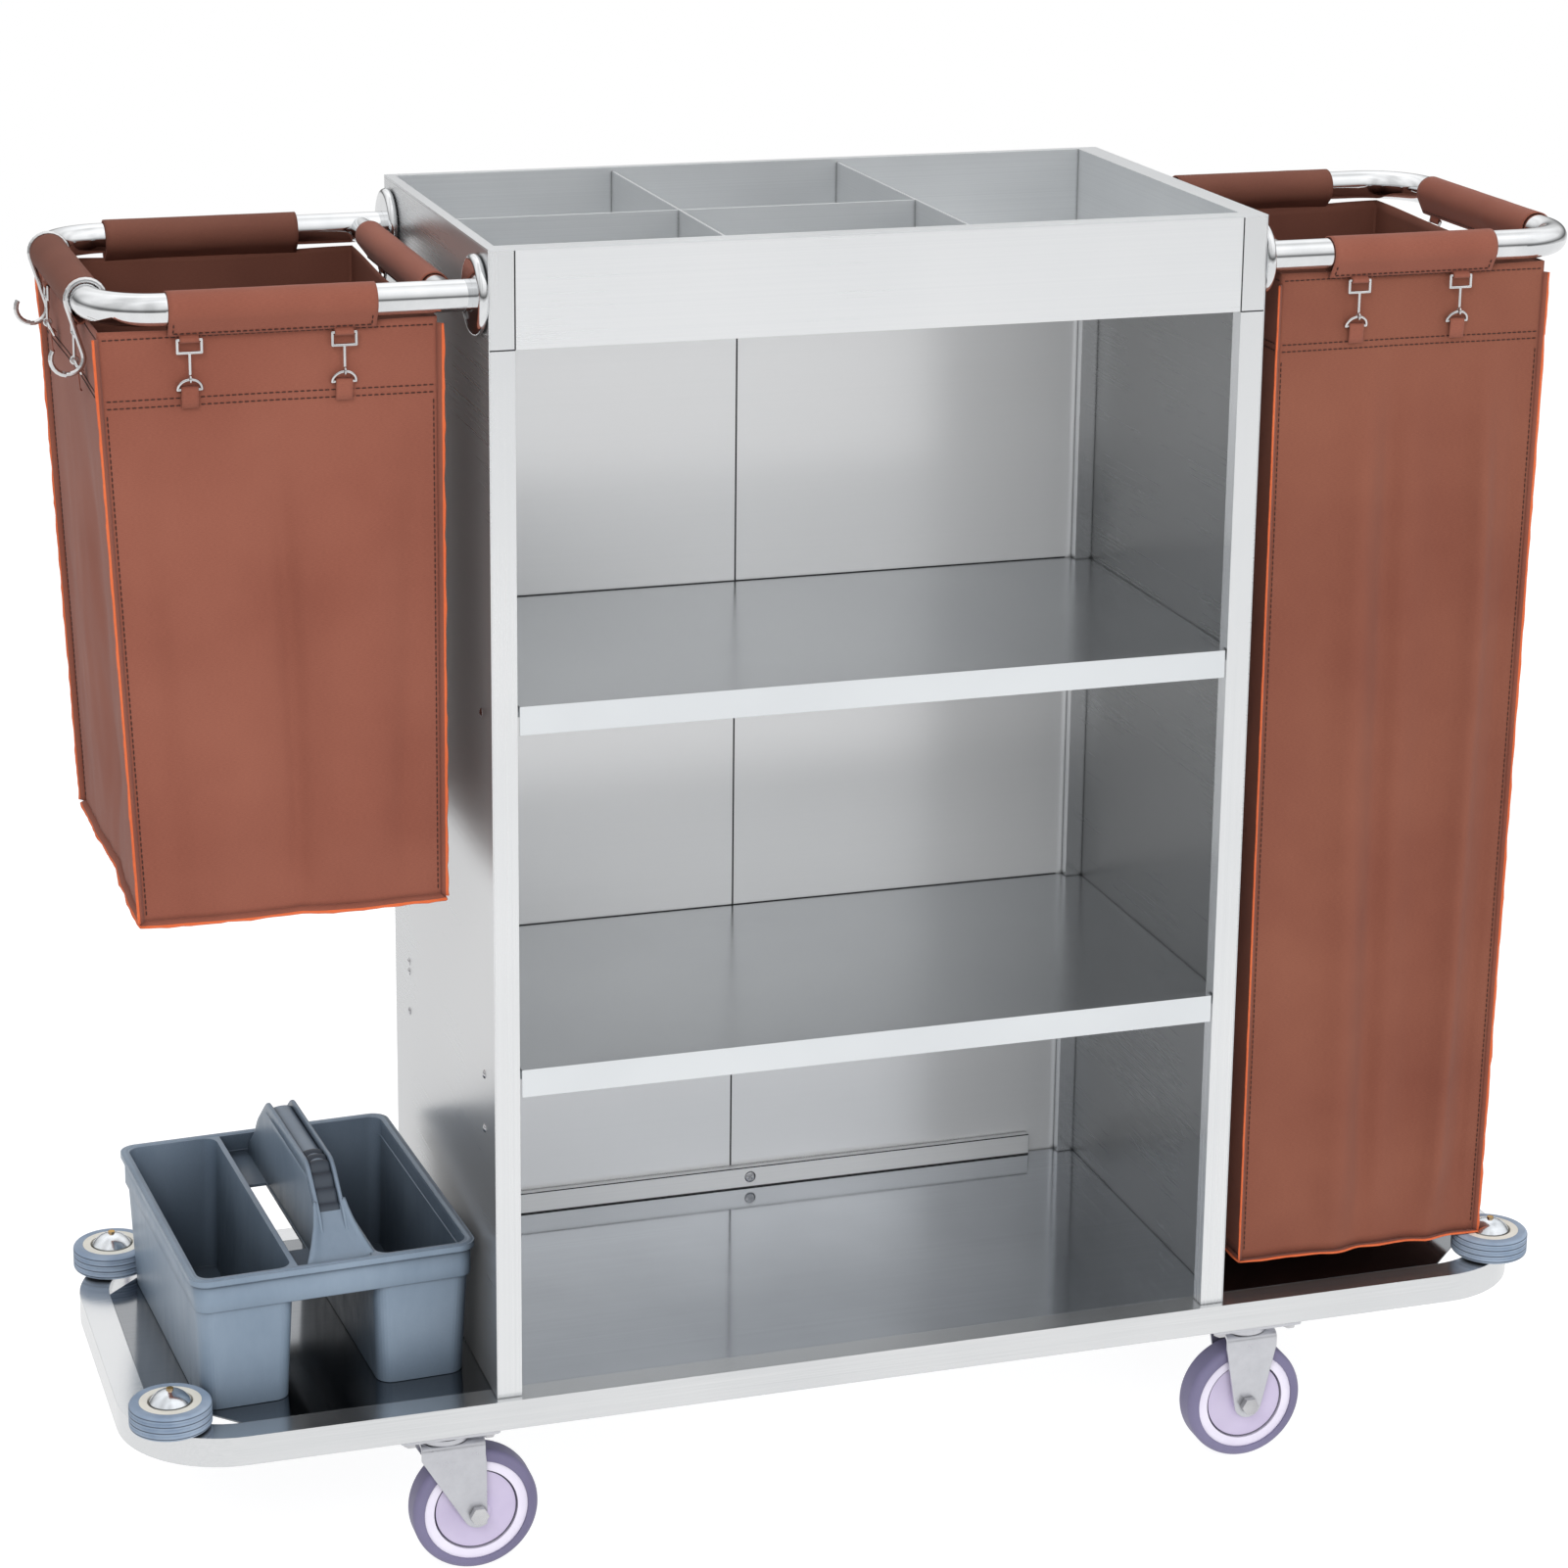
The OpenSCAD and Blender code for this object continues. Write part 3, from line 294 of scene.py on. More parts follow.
def moulded(name, light, dark, roughness, grainSize=900.0, depth=0.12, cornerShadeReach=0.0):
    m, body = blankMaterial(name)
    cloud = speckle(m, placeIn(m), 9.0, 4.0)
    grain = speckle(m, placeIn(m), grainSize, 3.0)
    scuff = speckle(m, placeIn(m, scale=(1, 1, 0.3)), 60.0, 6.0, 0.7)
    mix = sums(m, "ADD", sums(m, "MULTIPLY", cloud, 0.75), sums(m, "MULTIPLY", scuff, 0.25))
    colour = tint(m, spread(m, mix, 0, 1), dark, light)
    if cornerShadeReach:       # painted shade: deep corners darken over this distance
        nearby = addNode(m, "AmbientOcclusion", samples=8)
        nearby.inputs["Distance"].default_value = cornerShadeReach
        shaded = addNode(m, "Mix", data_type="RGBA")
        join(m, spread(m, nearby.outputs["AO"], 0.0, 1.0, 0.15, 0.8), shaded.inputs["Factor"])
        shaded.inputs["A"].default_value = (*(v * 0.3 for v in dark), 1)
        join(m, colour, shaded.inputs["B"])
        colour = shaded.outputs["Result"]
    join(m, colour, body.inputs["Base Color"])
    join(m, spread(m, scuff, roughness - 0.06, roughness + 0.1), body.inputs["Roughness"])
    relief(m, body, grain, depth, 0.0004, 0.0012)
    return m


# Rubber with grooves round it at one pitch up the wheel's height
def groovedRubber(name, light, dark, pitch, first):
    m, body = blankMaterial(name)
    cloud = speckle(m, placeIn(m), 30.0, 4.0)
    grain = speckle(m, placeIn(m), 1500.0, 2.0)
    split = addNode(m, "SeparateXYZ")
    join(m, placeIn(m), split.inputs[0])
    phase = sums(m, "MULTIPLY", sums(m, "SUBTRACT", split.outputs["Z"], first), 2 * math.pi / pitch)
    groove = spread(m, sums(m, "COSINE", phase, 0), 1.0, 0.0, 0.72, 0.95)
    surface = addNode(m, "NewGeometry")
    facing = addNode(m, "SeparateXYZ")
    join(m, surface.outputs["Normal"], facing.inputs[0])
    side = spread(m, sums(m, "ABSOLUTE", facing.outputs["Z"], 0), 1.0, 0.0, 0.3, 0.5)
    cut = sums(m, "MULTIPLY", sums(m, "SUBTRACT", 1.0, groove), side)
    # painted shade: the grooves on the bumper's sides take a darker copy of the rubber, as well as their
    # bump
    base = addNode(m, "Mix", data_type="RGBA")
    join(m, tint(m, spread(m, cloud, 0, 1), dark, light), base.inputs["A"])
    base.inputs["B"].default_value = (*(v * 0.35 for v in dark), 1)
    join(m, cut, base.inputs["Factor"])
    join(m, base.outputs["Result"], body.inputs["Base Color"])
    join(m, spread(m, cloud, 0.5, 0.68), body.inputs["Roughness"])
    height = sums(m, "SUBTRACT", sums(m, "MULTIPLY", grain, 0.08), cut)
    relief(m, body, height, 0.6, 0.001, 0.001)
    return m


# Woven canvas on the cloth's own flat measure, in metres
def canvas(name, light, dark, thread=0.0011, lining=False):
    m, body = blankMaterial(name)
    flat = placeIn(m, "UV")
    split = addNode(m, "SeparateXYZ")
    join(m, flat, split.inputs[0])
    across = sums(m, "SINE", sums(m, "MULTIPLY", split.outputs["X"], 2 * math.pi / thread), 0)
    along = sums(m, "SINE", sums(m, "MULTIPLY", split.outputs["Y"], 2 * math.pi / thread), 0)
    weave = sums(m, "MULTIPLY", across, along)
    slub = speckle(m, placeIn(m, "UV", (1, 8, 1)), 240.0, 3.0, 0.6)
    cloud = speckle(m, placeIn(m), 7.0, 4.0)
    tone = sums(m, "ADD", sums(m, "MULTIPLY", weave, 0.10),
                sums(m, "ADD", sums(m, "MULTIPLY", slub, 0.5), sums(m, "MULTIPLY", cloud, 0.45)))
    join(m, tint(m, spread(m, tone, 0, 1, 0.25, 0.72), dark, light), body.inputs["Base Color"])
    join(m, spread(m, slub, 0.72, 0.9), body.inputs["Roughness"])
    body.inputs["Specular IOR Level"].default_value = 0.25
    body.inputs["Sheen Weight"].default_value = 0.0 if lining else 0.06
    body.inputs["Sheen Roughness"].default_value = 0.5
    height = sums(m, "ADD", sums(m, "MULTIPLY", weave, 0.35), slub)
    relief(m, body, height, 0.22, 0.0006)
    return m


def thread(name, light, dark):
    m, body = blankMaterial(name)
    twist = addNode(m, "TexWave", wave_type="BANDS", bands_direction="DIAGONAL")
    twist.inputs["Scale"].default_value = 900
    join(m, placeIn(m), twist.inputs["Vector"])
    join(m, tint(m, twist.outputs["Fac"], dark, light), body.inputs["Base Color"])
    join(m, spread(m, twist.outputs["Fac"], 0.6, 0.8, 0, 1), body.inputs["Roughness"])
    relief(m, body, twist.outputs["Fac"], 0.3, 0.0003)
    return m


finish = {key: steel(key + "Steel", kind) for key, kind in steelKinds.items()
          if key not in ("deck", "shelf", "rail")}
finish["rail"] = steel("railSteel", steelKinds["rail"])
# painted highlight: the shelves' front-facing lips are 1.5 times lighter than the rest
finish["shelf"] = steel("shelfSteel", steelKinds["shelf"], frontFacingLitMask, 1.5)
# painted light: the deck inside the cabinet is 2.3 times lighter than outside
finish["deck"] = steel("deckSteel", steelKinds["deck"], cabinetFloorLightMask, 2.3)
# painted shade: the right panel's inner face (0.34) and the left panel's outer face (0.76), both turned to
# -X, are darkened
finish["farSide"] = steel("farSideSteelShadedInner", steelKinds["panel"], leftFacingShadeMask, 0.34)
finish["nearSide"] = steel("nearSideSteelShadedOuter", steelKinds["panel"], leftFacingShadeMask, 0.76)
finish["chrome"] = chrome("polishedTube", hexTint("f0f1f2"), hexTint("dcdee0"), 0.03)
finish["wire"] = chrome("platedWire", hexTint("ececec"), hexTint("c9c9ca"), 0.12)
finish["bolt"] = chrome("platedBolt", hexTint("e0e0e2"), hexTint("b8b8bc"), 0.16)
finish["bumper"] = groovedRubber("bumperRubber", hexTint("9fadbf"), hexTint("7f91a8"), 0.0063, 0.1962)
creamRings = ((0, hexTint("33363b"), hexTint("26282c")), (0.0216, hexTint("efece2"), hexTint("dcd8cc")))
finish["cream"] = ringed("creamRing", bumperMiddle, creamRings, 0.4)
capRings = ((0, hexTint("cfa75c"), hexTint("ad8343")), (0.0036, hexTint("eceff2"), hexTint("ccd2d9")))
finish["cap"] = ringed("domedCap", bumperMiddle, capRings, 0.1, 1.0)
finish["tyre"] = moulded("tyreRubber", hexTint("7f7a9a"), hexTint("67627f"), 0.48, 1200.0, 0.2)
discRings = ((0, hexTint("cbc1da"), hexTint("b9aecb")), (0.0405, hexTint("5c5670"), hexTint("4a455c")),
             (0.0424, hexTint("eae5f3"), hexTint("d8d1e4")))
for end, x in middles["wheels"].items():
    finish[end + "Disc"] = ringed(end + "Disc", wheelMiddle(x), discRings, 0.38)
# painted shade darkens the caddy's deep corners over 0.12 m
finish["caddy"] = moulded("caddyPlastic", hexTint("8797a8"), hexTint("6f8092"), 0.34, 700.0, 0.1, 0.12)
finish["caddyDark"] = moulded("caddyGrip", hexTint("454d57"), hexTint("353c45"), 0.5, 700.0, 0.1)
finish["cloth"] = canvas("bagCanvas", hexTint("965d4c"), hexTint("7b4436"))
# painted shade: the right bag takes a darker copy of the same canvas, as it stands in less light
finish["rightClothShaded"] = canvas("tallBagCanvasShaded", hexTint("8f5a47"), hexTint("733f32"))
# lining: a darker inner coating together with painted shade for the bag's inside
finish["lining"] = canvas("bagLiningCoatAndShade", hexTint("7d4f41"), hexTint("5f3a30"), lining=True)
finish["rawEdge"] = canvas("frayedEdge", hexTint("e8794a"), hexTint("cc5a33"))
finish["stitch"] = thread("darkThread", hexTint("4c2a22"), hexTint("2a1612"))
# dark joint lines with painted shadow for the gaps between sheets
finish["shadowGap"] = moulded("gapShadowLine", hexTint("2b2c2e"), hexTint("1d1e20"), 0.7)
print("finishes made")

wears = {
    "tube": ["base_frame"],
    "deck": ["deck_sheet"],
    "bolt": ["bumper_studs", "caster_bolts", "panel_screws", "right_front_axle", "right_rear_axle",
             "left_front_axle", "left_rear_axle", "kingpins"],
    "zinc": ["caster_plates", "swivel_bearings", "right_front_fork", "right_rear_fork",
             "left_front_fork", "left_rear_fork"],
    "upright": ["left_front_post", "right_front_post", "left_rear_post", "right_rear_post",
                "tray_corner_blocks"],
    "panel": ["header"],
    "nearSide": ["left_side_panel"],
    "back": ["left_back_panel", "right_back_panel"],
    "rail": ["floor_rail"],
    "farSide": ["right_side_panel"],
    "tray": ["tray_pan", "tray_dividers"],
    "shelf": ["lower_shelf", "upper_shelf"],
    "chrome": ["left_handle", "right_handle", "cross_bars", "handle_flanges"],
    "cap": ["bumper_caps"],
    "wire": ["bag_hooks", "front_s_hook", "rear_s_hook"],
    "caddy": ["caddy"],
    "cream": [],
}
for place in ("left_front", "left_rear", "right_front", "right_rear"):
    wears.setdefault("bumper", []).append(place + "_bumper_tyre")
    wears["cream"].append(place + "_bumper_hub")
    wears.setdefault("tyre", []).append(place + "_tyre")
    wears.setdefault(place.split("_")[0] + "Disc", []).append(place + "_wheel_core")

for key, names in wears.items():
    for nodeName in names:
        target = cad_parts[nodeName]
        target.data.materials.clear()
        target.data.materials.append(finish[key])
print("finishes put on the frame")

studio = {
    "fill": 0.62,            # what unlit sides get from all round
    "mirror": [              # height of a reflected direction (-1 down, 1 up) and its brightness
        (-1.0, 0.85), (-0.45, 0.98), (-0.14, 0.95), (-0.05, 0.5), (0.02, 0.12),
        (0.12, 0.4), (0.28, 0.86), (0.60, 1.05), (1.0, 1.2)],
    "key": {"place": (-2.4, -4.4, 4.0), "size": 2.2, "power": 116},
    "front": {"place": (0.3, -5.0, 1.3), "size": 2.4, "power": 52},
    "side": {"place": (4.2, -2.2, 3.0), "size": 2.0, "power": 50},
    "top": {"place": (0.0, 0.4, 5.0), "size": 3.0, "power": 55},
    "bandSize": 1.6, "bandStretch": (1, 1, 0.25),       # softboxes in the mirror
    "bandLift": (("From Min", 0.35), ("From Max", 0.65), ("To Min", 0.72), ("To Max", 1.12)),
    "floorSize": 14.0, "floorPaint": (0.30, 0.30, 0.305, 1), "floorGlow": 0.86, "floorMirror": 0.92,
}


def makeWorld(s):
    world = bpy.data.worlds.new("studio")
    bpy.context.scene.world = world
    world.use_nodes = True
    t = world.node_tree
    t.nodes.clear()
    out = t.nodes.new("ShaderNodeOutputWorld")
    path = t.nodes.new("ShaderNodeLightPath")
    spot = t.nodes.new("ShaderNodeTexCoord")
    split = t.nodes.new("ShaderNodeSeparateXYZ")
    t.links.new(spot.outputs["Generated"], split.inputs[0])
    height = t.nodes.new("ShaderNodeMapRange")
    height.inputs["From Min"].default_value = -1
    t.links.new(split.outputs["Z"], height.inputs["Value"])
    ramp = t.nodes.new("ShaderNodeValToRGB")
    t.links.new(height.outputs["Result"], ramp.inputs["Fac"])
    stops = ramp.color_ramp.elements
    for i, (z, v) in enumerate(s["mirror"]):
        stop = stops[i] if i < 2 else stops.new((z + 1) / 2)
        stop.position = (z + 1) / 2
        stop.color = (v, v, v, 1)
    # softboxes: broad light and dark bands that run up the walls of the studio
    bands = t.nodes.new("ShaderNodeTexNoise")
    bands.inputs["Scale"].default_value = s["bandSize"]
    bands.inputs["Detail"].default_value = 1
    stretch = t.nodes.new("ShaderNodeMapping")
    stretch.inputs["Scale"].default_value = s["bandStretch"]
    t.links.new(spot.outputs["Generated"], stretch.inputs["Vector"])
    t.links.new(stretch.outputs["Vector"], bands.inputs["Vector"])
    lift = t.nodes.new("ShaderNodeMapRange")
    for key, v in s["bandLift"]:
        lift.inputs[key].default_value = v
    t.links.new(bands.outputs["Fac"], lift.inputs["Value"])
    seen = []
    for colour, strength in (((0.97, 0.985, 1, 1), s["fill"]), (None, 1), ((1, 1, 1, 1), 1)):
        b = t.nodes.new("ShaderNodeBackground")
        b.inputs["Strength"].default_value = strength
        if colour:
            b.inputs["Color"].default_value = colour
        seen.append(b)
    t.links.new(ramp.outputs["Color"], seen[1].inputs["Color"])
    t.links.new(lift.outputs["Result"], seen[1].inputs["Strength"])
    shown = seen[0].outputs[0]
    for flag, b in (("Is Glossy Ray", seen[1]), ("Is Camera Ray", seen[2])):
        mix = t.nodes.new("ShaderNodeMixShader")
        t.links.new(path.outputs[flag], mix.inputs[0])
        t.links.new(shown, mix.inputs[1])
        t.links.new(b.outputs[0], mix.inputs[2])
        shown = mix.outputs[0]
    t.links.new(shown, out.inputs["Surface"])


def makeLamp(name, s):
    data = bpy.data.lights.new(name, "AREA")
    data.size = s["size"]
    data.energy = s["power"]
    lamp = bpy.data.objects.new(name, data)
    lamp.location = s["place"]
    lamp.rotation_euler = (Vector((0, 0, 0.6)) - Vector(s["place"])).to_track_quat("-Z", "Y").to_euler()
    bpy.context.scene.collection.objects.link(lamp)
    lamp.visible_glossy = False


def makeFloor(s):
    mesh = bpy.data.meshes.new("studioFloor")
    h = s["floorSize"] / 2
    mesh.from_pydata([(-h, -h, 0), (h, -h, 0), (h, h, 0), (-h, h, 0)], [], [(0, 1, 2, 3)])
    floor = bpy.data.objects.new("studioFloor", mesh)
    bpy.context.scene.collection.objects.link(floor)
    m = bpy.data.materials.new("paleFloor")
    m.use_nodes = True
    t = m.node_tree
    t.nodes.clear()
    out = t.nodes.new("ShaderNodeOutputMaterial")
    path = t.nodes.new("ShaderNodeLightPath")
    paint = t.nodes.new("ShaderNodeBsdfDiffuse")
    paint.inputs["Color"].default_value = s["floorPaint"]
    glow = t.nodes.new("ShaderNodeEmission")
    glow.inputs["Strength"].default_value = s["floorGlow"]
    both = t.nodes.new("ShaderNodeAddShader")
    dark = t.nodes.new("ShaderNodeEmission")
    dark.inputs["Strength"].default_value = s["floorMirror"]
    mix = t.nodes.new("ShaderNodeMixShader")
    t.links.new(glow.outputs[0], both.inputs[0])
    t.links.new(paint.outputs[0], both.inputs[1])
    t.links.new(path.outputs["Is Camera Ray"], mix.inputs[0])
    t.links.new(dark.outputs[0], mix.inputs[1])
    t.links.new(both.outputs[0], mix.inputs[2])
    t.links.new(mix.outputs[0], out.inputs["Surface"])
    mesh.materials.append(m)


makeWorld(studio)
for lampName in ("key", "front", "side", "top"):
    makeLamp(lampName + "Lamp", studio[lampName])
makeFloor(studio)
print("studio lit")


def makePiece(name, points, faces, materials, body="chassis", flats=None, kinds=None, smooth=True):
    mesh = bpy.data.meshes.new(name)
    mesh.from_pydata([tuple(p) for p in points], [], faces)
    for m in materials:
        mesh.materials.append(m)
    if kinds is not None:
        mesh.polygons.foreach_set("material_index", kinds)
    if flats is not None:
        layer = mesh.uv_layers.new(name="flat")
        loops = np.empty(len(mesh.loops), np.int32)
        mesh.loops.foreach_get("vertex_index", loops)
        layer.data.foreach_set("uv", np.asarray(flats, np.float32)[loops].ravel())
    if smooth:
        mesh.shade_smooth()
    mesh.update()
    obj = bpy.data.objects.new(name, mesh)
    bpy.context.scene.collection.objects.link(obj)
    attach(obj, body)
    return obj


def thicken(obj, thickness, inside=0):
    m = obj.modifiers.new("clothThickness", "SOLIDIFY")
    m.thickness = thickness
    m.offset = -1
    m.material_offset = inside
    m.use_even_offset = False
    return obj


# Quads between rows of points; wrap joins each row's end to its start
def gridFaces(rows, cols, wrap=False, first=0):
    faces = []
    for i in range(rows - 1):
        for j in range(cols if wrap else cols - 1):
            k = (j + 1) % cols
            faces.append((first + i * cols + j, first + i * cols + k,
                          first + (i + 1) * cols + k, first + (i + 1) * cols + j))
    return faces


def smoothStep(x):
    x = np.clip(x, 0, 1)
    return x * x * (3 - 2 * x)


def ripple(p, scale, seed):
    return noise.noise(Vector((p[0] * scale + seed, p[1] * scale - seed, p[2] * scale + 2 * seed)))


# Short threads laid along a path, each a thin six-sided lens
def stitchRow(paths, spacing=0.0056, length=0.0042, radius=0.00062):
    points, faces = [], []
    for path, lift in paths:
        path = [Vector(p) for p in path]
        steps = [0.0]
        for a, b in zip(path, path[1:]):
            steps.append(steps[-1] + (b - a).length)
        count = max(1, int(steps[-1] / spacing))
        at = 0
        for n in range(count):
            s = (n + 0.5) * steps[-1] / count
            while at < len(path) - 2 and steps[at + 1] < s:
                at += 1
            a, b = path[at], path[at + 1]
            along = (b - a).normalized()
            up = Vector(lift[min(at, len(lift) - 1)] if isinstance(lift, list) else lift).normalized()
            side = along.cross(up).normalized()
            centre = a + along * (s - steps[at]) + up * radius * 0.5
            first = len(points)
            for e, r in ((-0.5, 0.35), (-0.3, 1.0), (0.3, 1.0), (0.5, 0.35)):
                for k in range(6):
                    t = k * math.pi / 3
                    rim = (side * math.cos(t) + up * math.sin(t)) * radius * r
                    points.append(centre + along * e * length + rim)
            faces += gridFaces(4, 6, True, first)
            faces += [tuple(first + k for k in reversed(range(6))), tuple(first + 18 + k for k in range(6))]
    return points, faces


def makeStitches(name, paths, body="chassis", **sizes):
    points, faces = stitchRow(paths, **sizes)
    obj = makePiece(name, points, faces, [finish["stitch"]], body)
    return obj


cabinet = {
    "front": -0.2230, "backFace": 0.204, "seamShade": -0.00775, "seamWide": 0.0018, "jointWide": 0.0014,
    "bays": ((0.216, 0.5185), (0.5203, 0.8820), (0.8838, 1.235)), "bayEnds": (-0.350, 0.368),
    "gapWide": 0.0013,
    "rail": (-0.32275, 0.34125), "railFace": 0.195, "railEdges": (0.1918, 0.2146),
    "header": (1.236, 1.328), "posts": ((-0.35175, -0.37555), (0.37025, 0.39405)),
    "railScrews": ((0.0125, 0.2035),), "screwSize": 0.0065, "screwHigh": 0.0022,
}


# Narrow dark strips where sheets meet, dark joint lines with painted shadow in the gaps: each from one
# point to another, with its width and its way out
def makeGapShadows(name, runs, wide):
    points, faces = [], []
    for a, b, side, out in runs:
        side, out = Vector(side), Vector(out)
        for k in range(12):
            at = Vector(a).lerp(Vector(b), k / 11)
            for w, high in ((-0.5, 0.00002), (-0.25, 0.0003), (0.25, 0.0003), (0.5, 0.00002)):
                points.append(at + side * w * wide + out * high)
    for i in range(len(runs)):
        faces += gridFaces(12, 4, False, i * 48)
    gap = makePiece(name, points, faces, [finish["shadowGap"]])


def makeSeamShadows(c):
    front, back, seamShade = (0, -1, 0), c["backFace"], c["seamShade"]
    runs = [((seamShade, back, low), (seamShade, back, high), (1, 0, 0), front) for low, high in c["bays"]]
    makeGapShadows("backSeamShadow", runs, c["seamWide"])
    left, right = c["bayEnds"]
    runs = [((left, back, bay[0]), (right, back, bay[0]), (0, 0, 1), front) for bay in c["bays"][1:]]
    makeGapShadows("shelfShadowLines", runs, c["gapWide"])
    left, right = c["rail"]
    face = c["railFace"]
    runs = [((left, face, z), (right, face, z), (0, 0, 1), front) for z in c["railEdges"]]
    makeGapShadows("railShadowLines", runs, c["gapWide"])
    low, high = c["header"]
    runs = []
    for inner, outer in c["posts"]:
        runs.append(((inner, c["front"], low), (inner, c["front"], high), (1, 0, 0), front))
        runs.append(((inner, c["front"], low), (outer, c["front"], low), (0, 0, 1), front))
    makeGapShadows("headerJointShadows", runs, c["jointWide"])


# A pan head with a cross pressed into it; out is where it faces
def screwHead(points, faces, at, out, size, high):
    out = Vector(out).normalized()
    a = out.orthogonal().normalized()
    b = out.cross(a)
    first = len(points)
    rings, sides = 9, 32
    for i in range(rings + 1):
        r = i / rings
        for j in range(sides):
            t = 2 * math.pi * j / sides
            cross = 1.0 if r <= 0.05 else 0.0
            if 0.05 < r < 0.62:
                cross = max(0.0, 1 - min(abs(math.sin(t)), abs(math.cos(t))) * r * 6)
            dome = high * math.sqrt(max(0.0, 1 - r ** 2.6)) - 0.0007 * cross
            points.append(Vector(at) + a * math.cos(t) * r * size + b * math.sin(t) * r * size + out * dome)
    faces += gridFaces(rings + 1, sides, True, first)


def makeScrews(c):
    points, faces = [], []
    for x, z in c["railScrews"]:
        screwHead(points, faces, (x, c["railFace"], z), (0, -1, 0), c["screwSize"], c["screwHigh"])
    screws = makePiece("railScrews", points, faces, [finish["bolt"]])


makeSeamShadows(cabinet)
makeScrews(cabinet)
print("cabinet fittings made")

caddyShape = {
    "centre": (-0.53275, 0.0, 0.1913), "turn": math.radians(3),
    "rim": (0.285, 0.354, 0.018), "body": (0.273, 0.342, 0.012), "inner": (0.267, 0.336, 0.013),
    "bead": 0.0045, "beadHigh": 0.1385, "line": 0.0011, "lineHigh": 0.124,
    "band": ((-0.0008, 0.1072), (0.0013, 0.1072), (0.0021, 0.1082), (0.0021, 0.1340), (-0.0008, 0.1352)),
    "ridge": 0.008, "ridgeRound": 0.015, "kink": 0.008, "slope": ((-0.168, 0.129), (-0.073, 0.208)),
    "rail": 0.0125, "railRise": 0.010, "railEnd": 0.150,
    "grip": (-0.126, 0.055), "gripHalf": 0.0105, "fingers": (-0.124, 6, 0.0130), "fingerHigh": 0.0034,
    "trough": (-0.116, -0.1655), "troughHalf": (0.0152, 0.0345), "troughWall": 0.009, "saddle": 0.1205,
}


def fromCaddy(c, x, y, z):
    co, si = math.cos(c["turn"]), math.sin(c["turn"])
    return (c["centre"][0] + x * co - y * si, c["centre"][1] + x * si + y * co, c["centre"][2] + z)


# A section of (outwards, up) points taken round a rectangle with round corners
def roundTheRim(c, size, section, steps=9):
    w, d, r = size
    points, faces = [], []
    for corner, (sx, sy) in enumerate(((1, 1), (-1, 1), (-1, -1), (1, -1))):
        for i in range(steps):
            t = (corner + i / (steps - 1)) * math.pi / 2
            nx, ny = math.cos(t), math.sin(t)
            x, y = sx * (w / 2 - r) + nx * r, sy * (d / 2 - r) + ny * r
            points += [fromCaddy(c, x + nx * o, y + ny * o, z) for o, z in section]
    rows, cols = steps * 4, len(section)
    for i in range(rows):
        for j in range(cols):
            k, n = (j + 1) % cols, (i + 1) % rows
            faces.append((i * cols + j, i * cols + k, n * cols + k, n * cols + j))
    return points, faces


def ridgeTop(c, x, y):
    (y0, z0), (y1, z1) = c["slope"]
    slope = z0 + (min(-abs(y), y1) - y0) / (y1 - y0) * (z1 - z0)
    level = z1 - c["ridgeRound"] + math.sqrt(max(0.0, c["ridgeRound"] ** 2 - x * x))
    blend = max(0.0, c["kink"] - abs(slope - level)) / c["kink"]
    return min(slope, level) - blend * blend * c["kink"] / 4


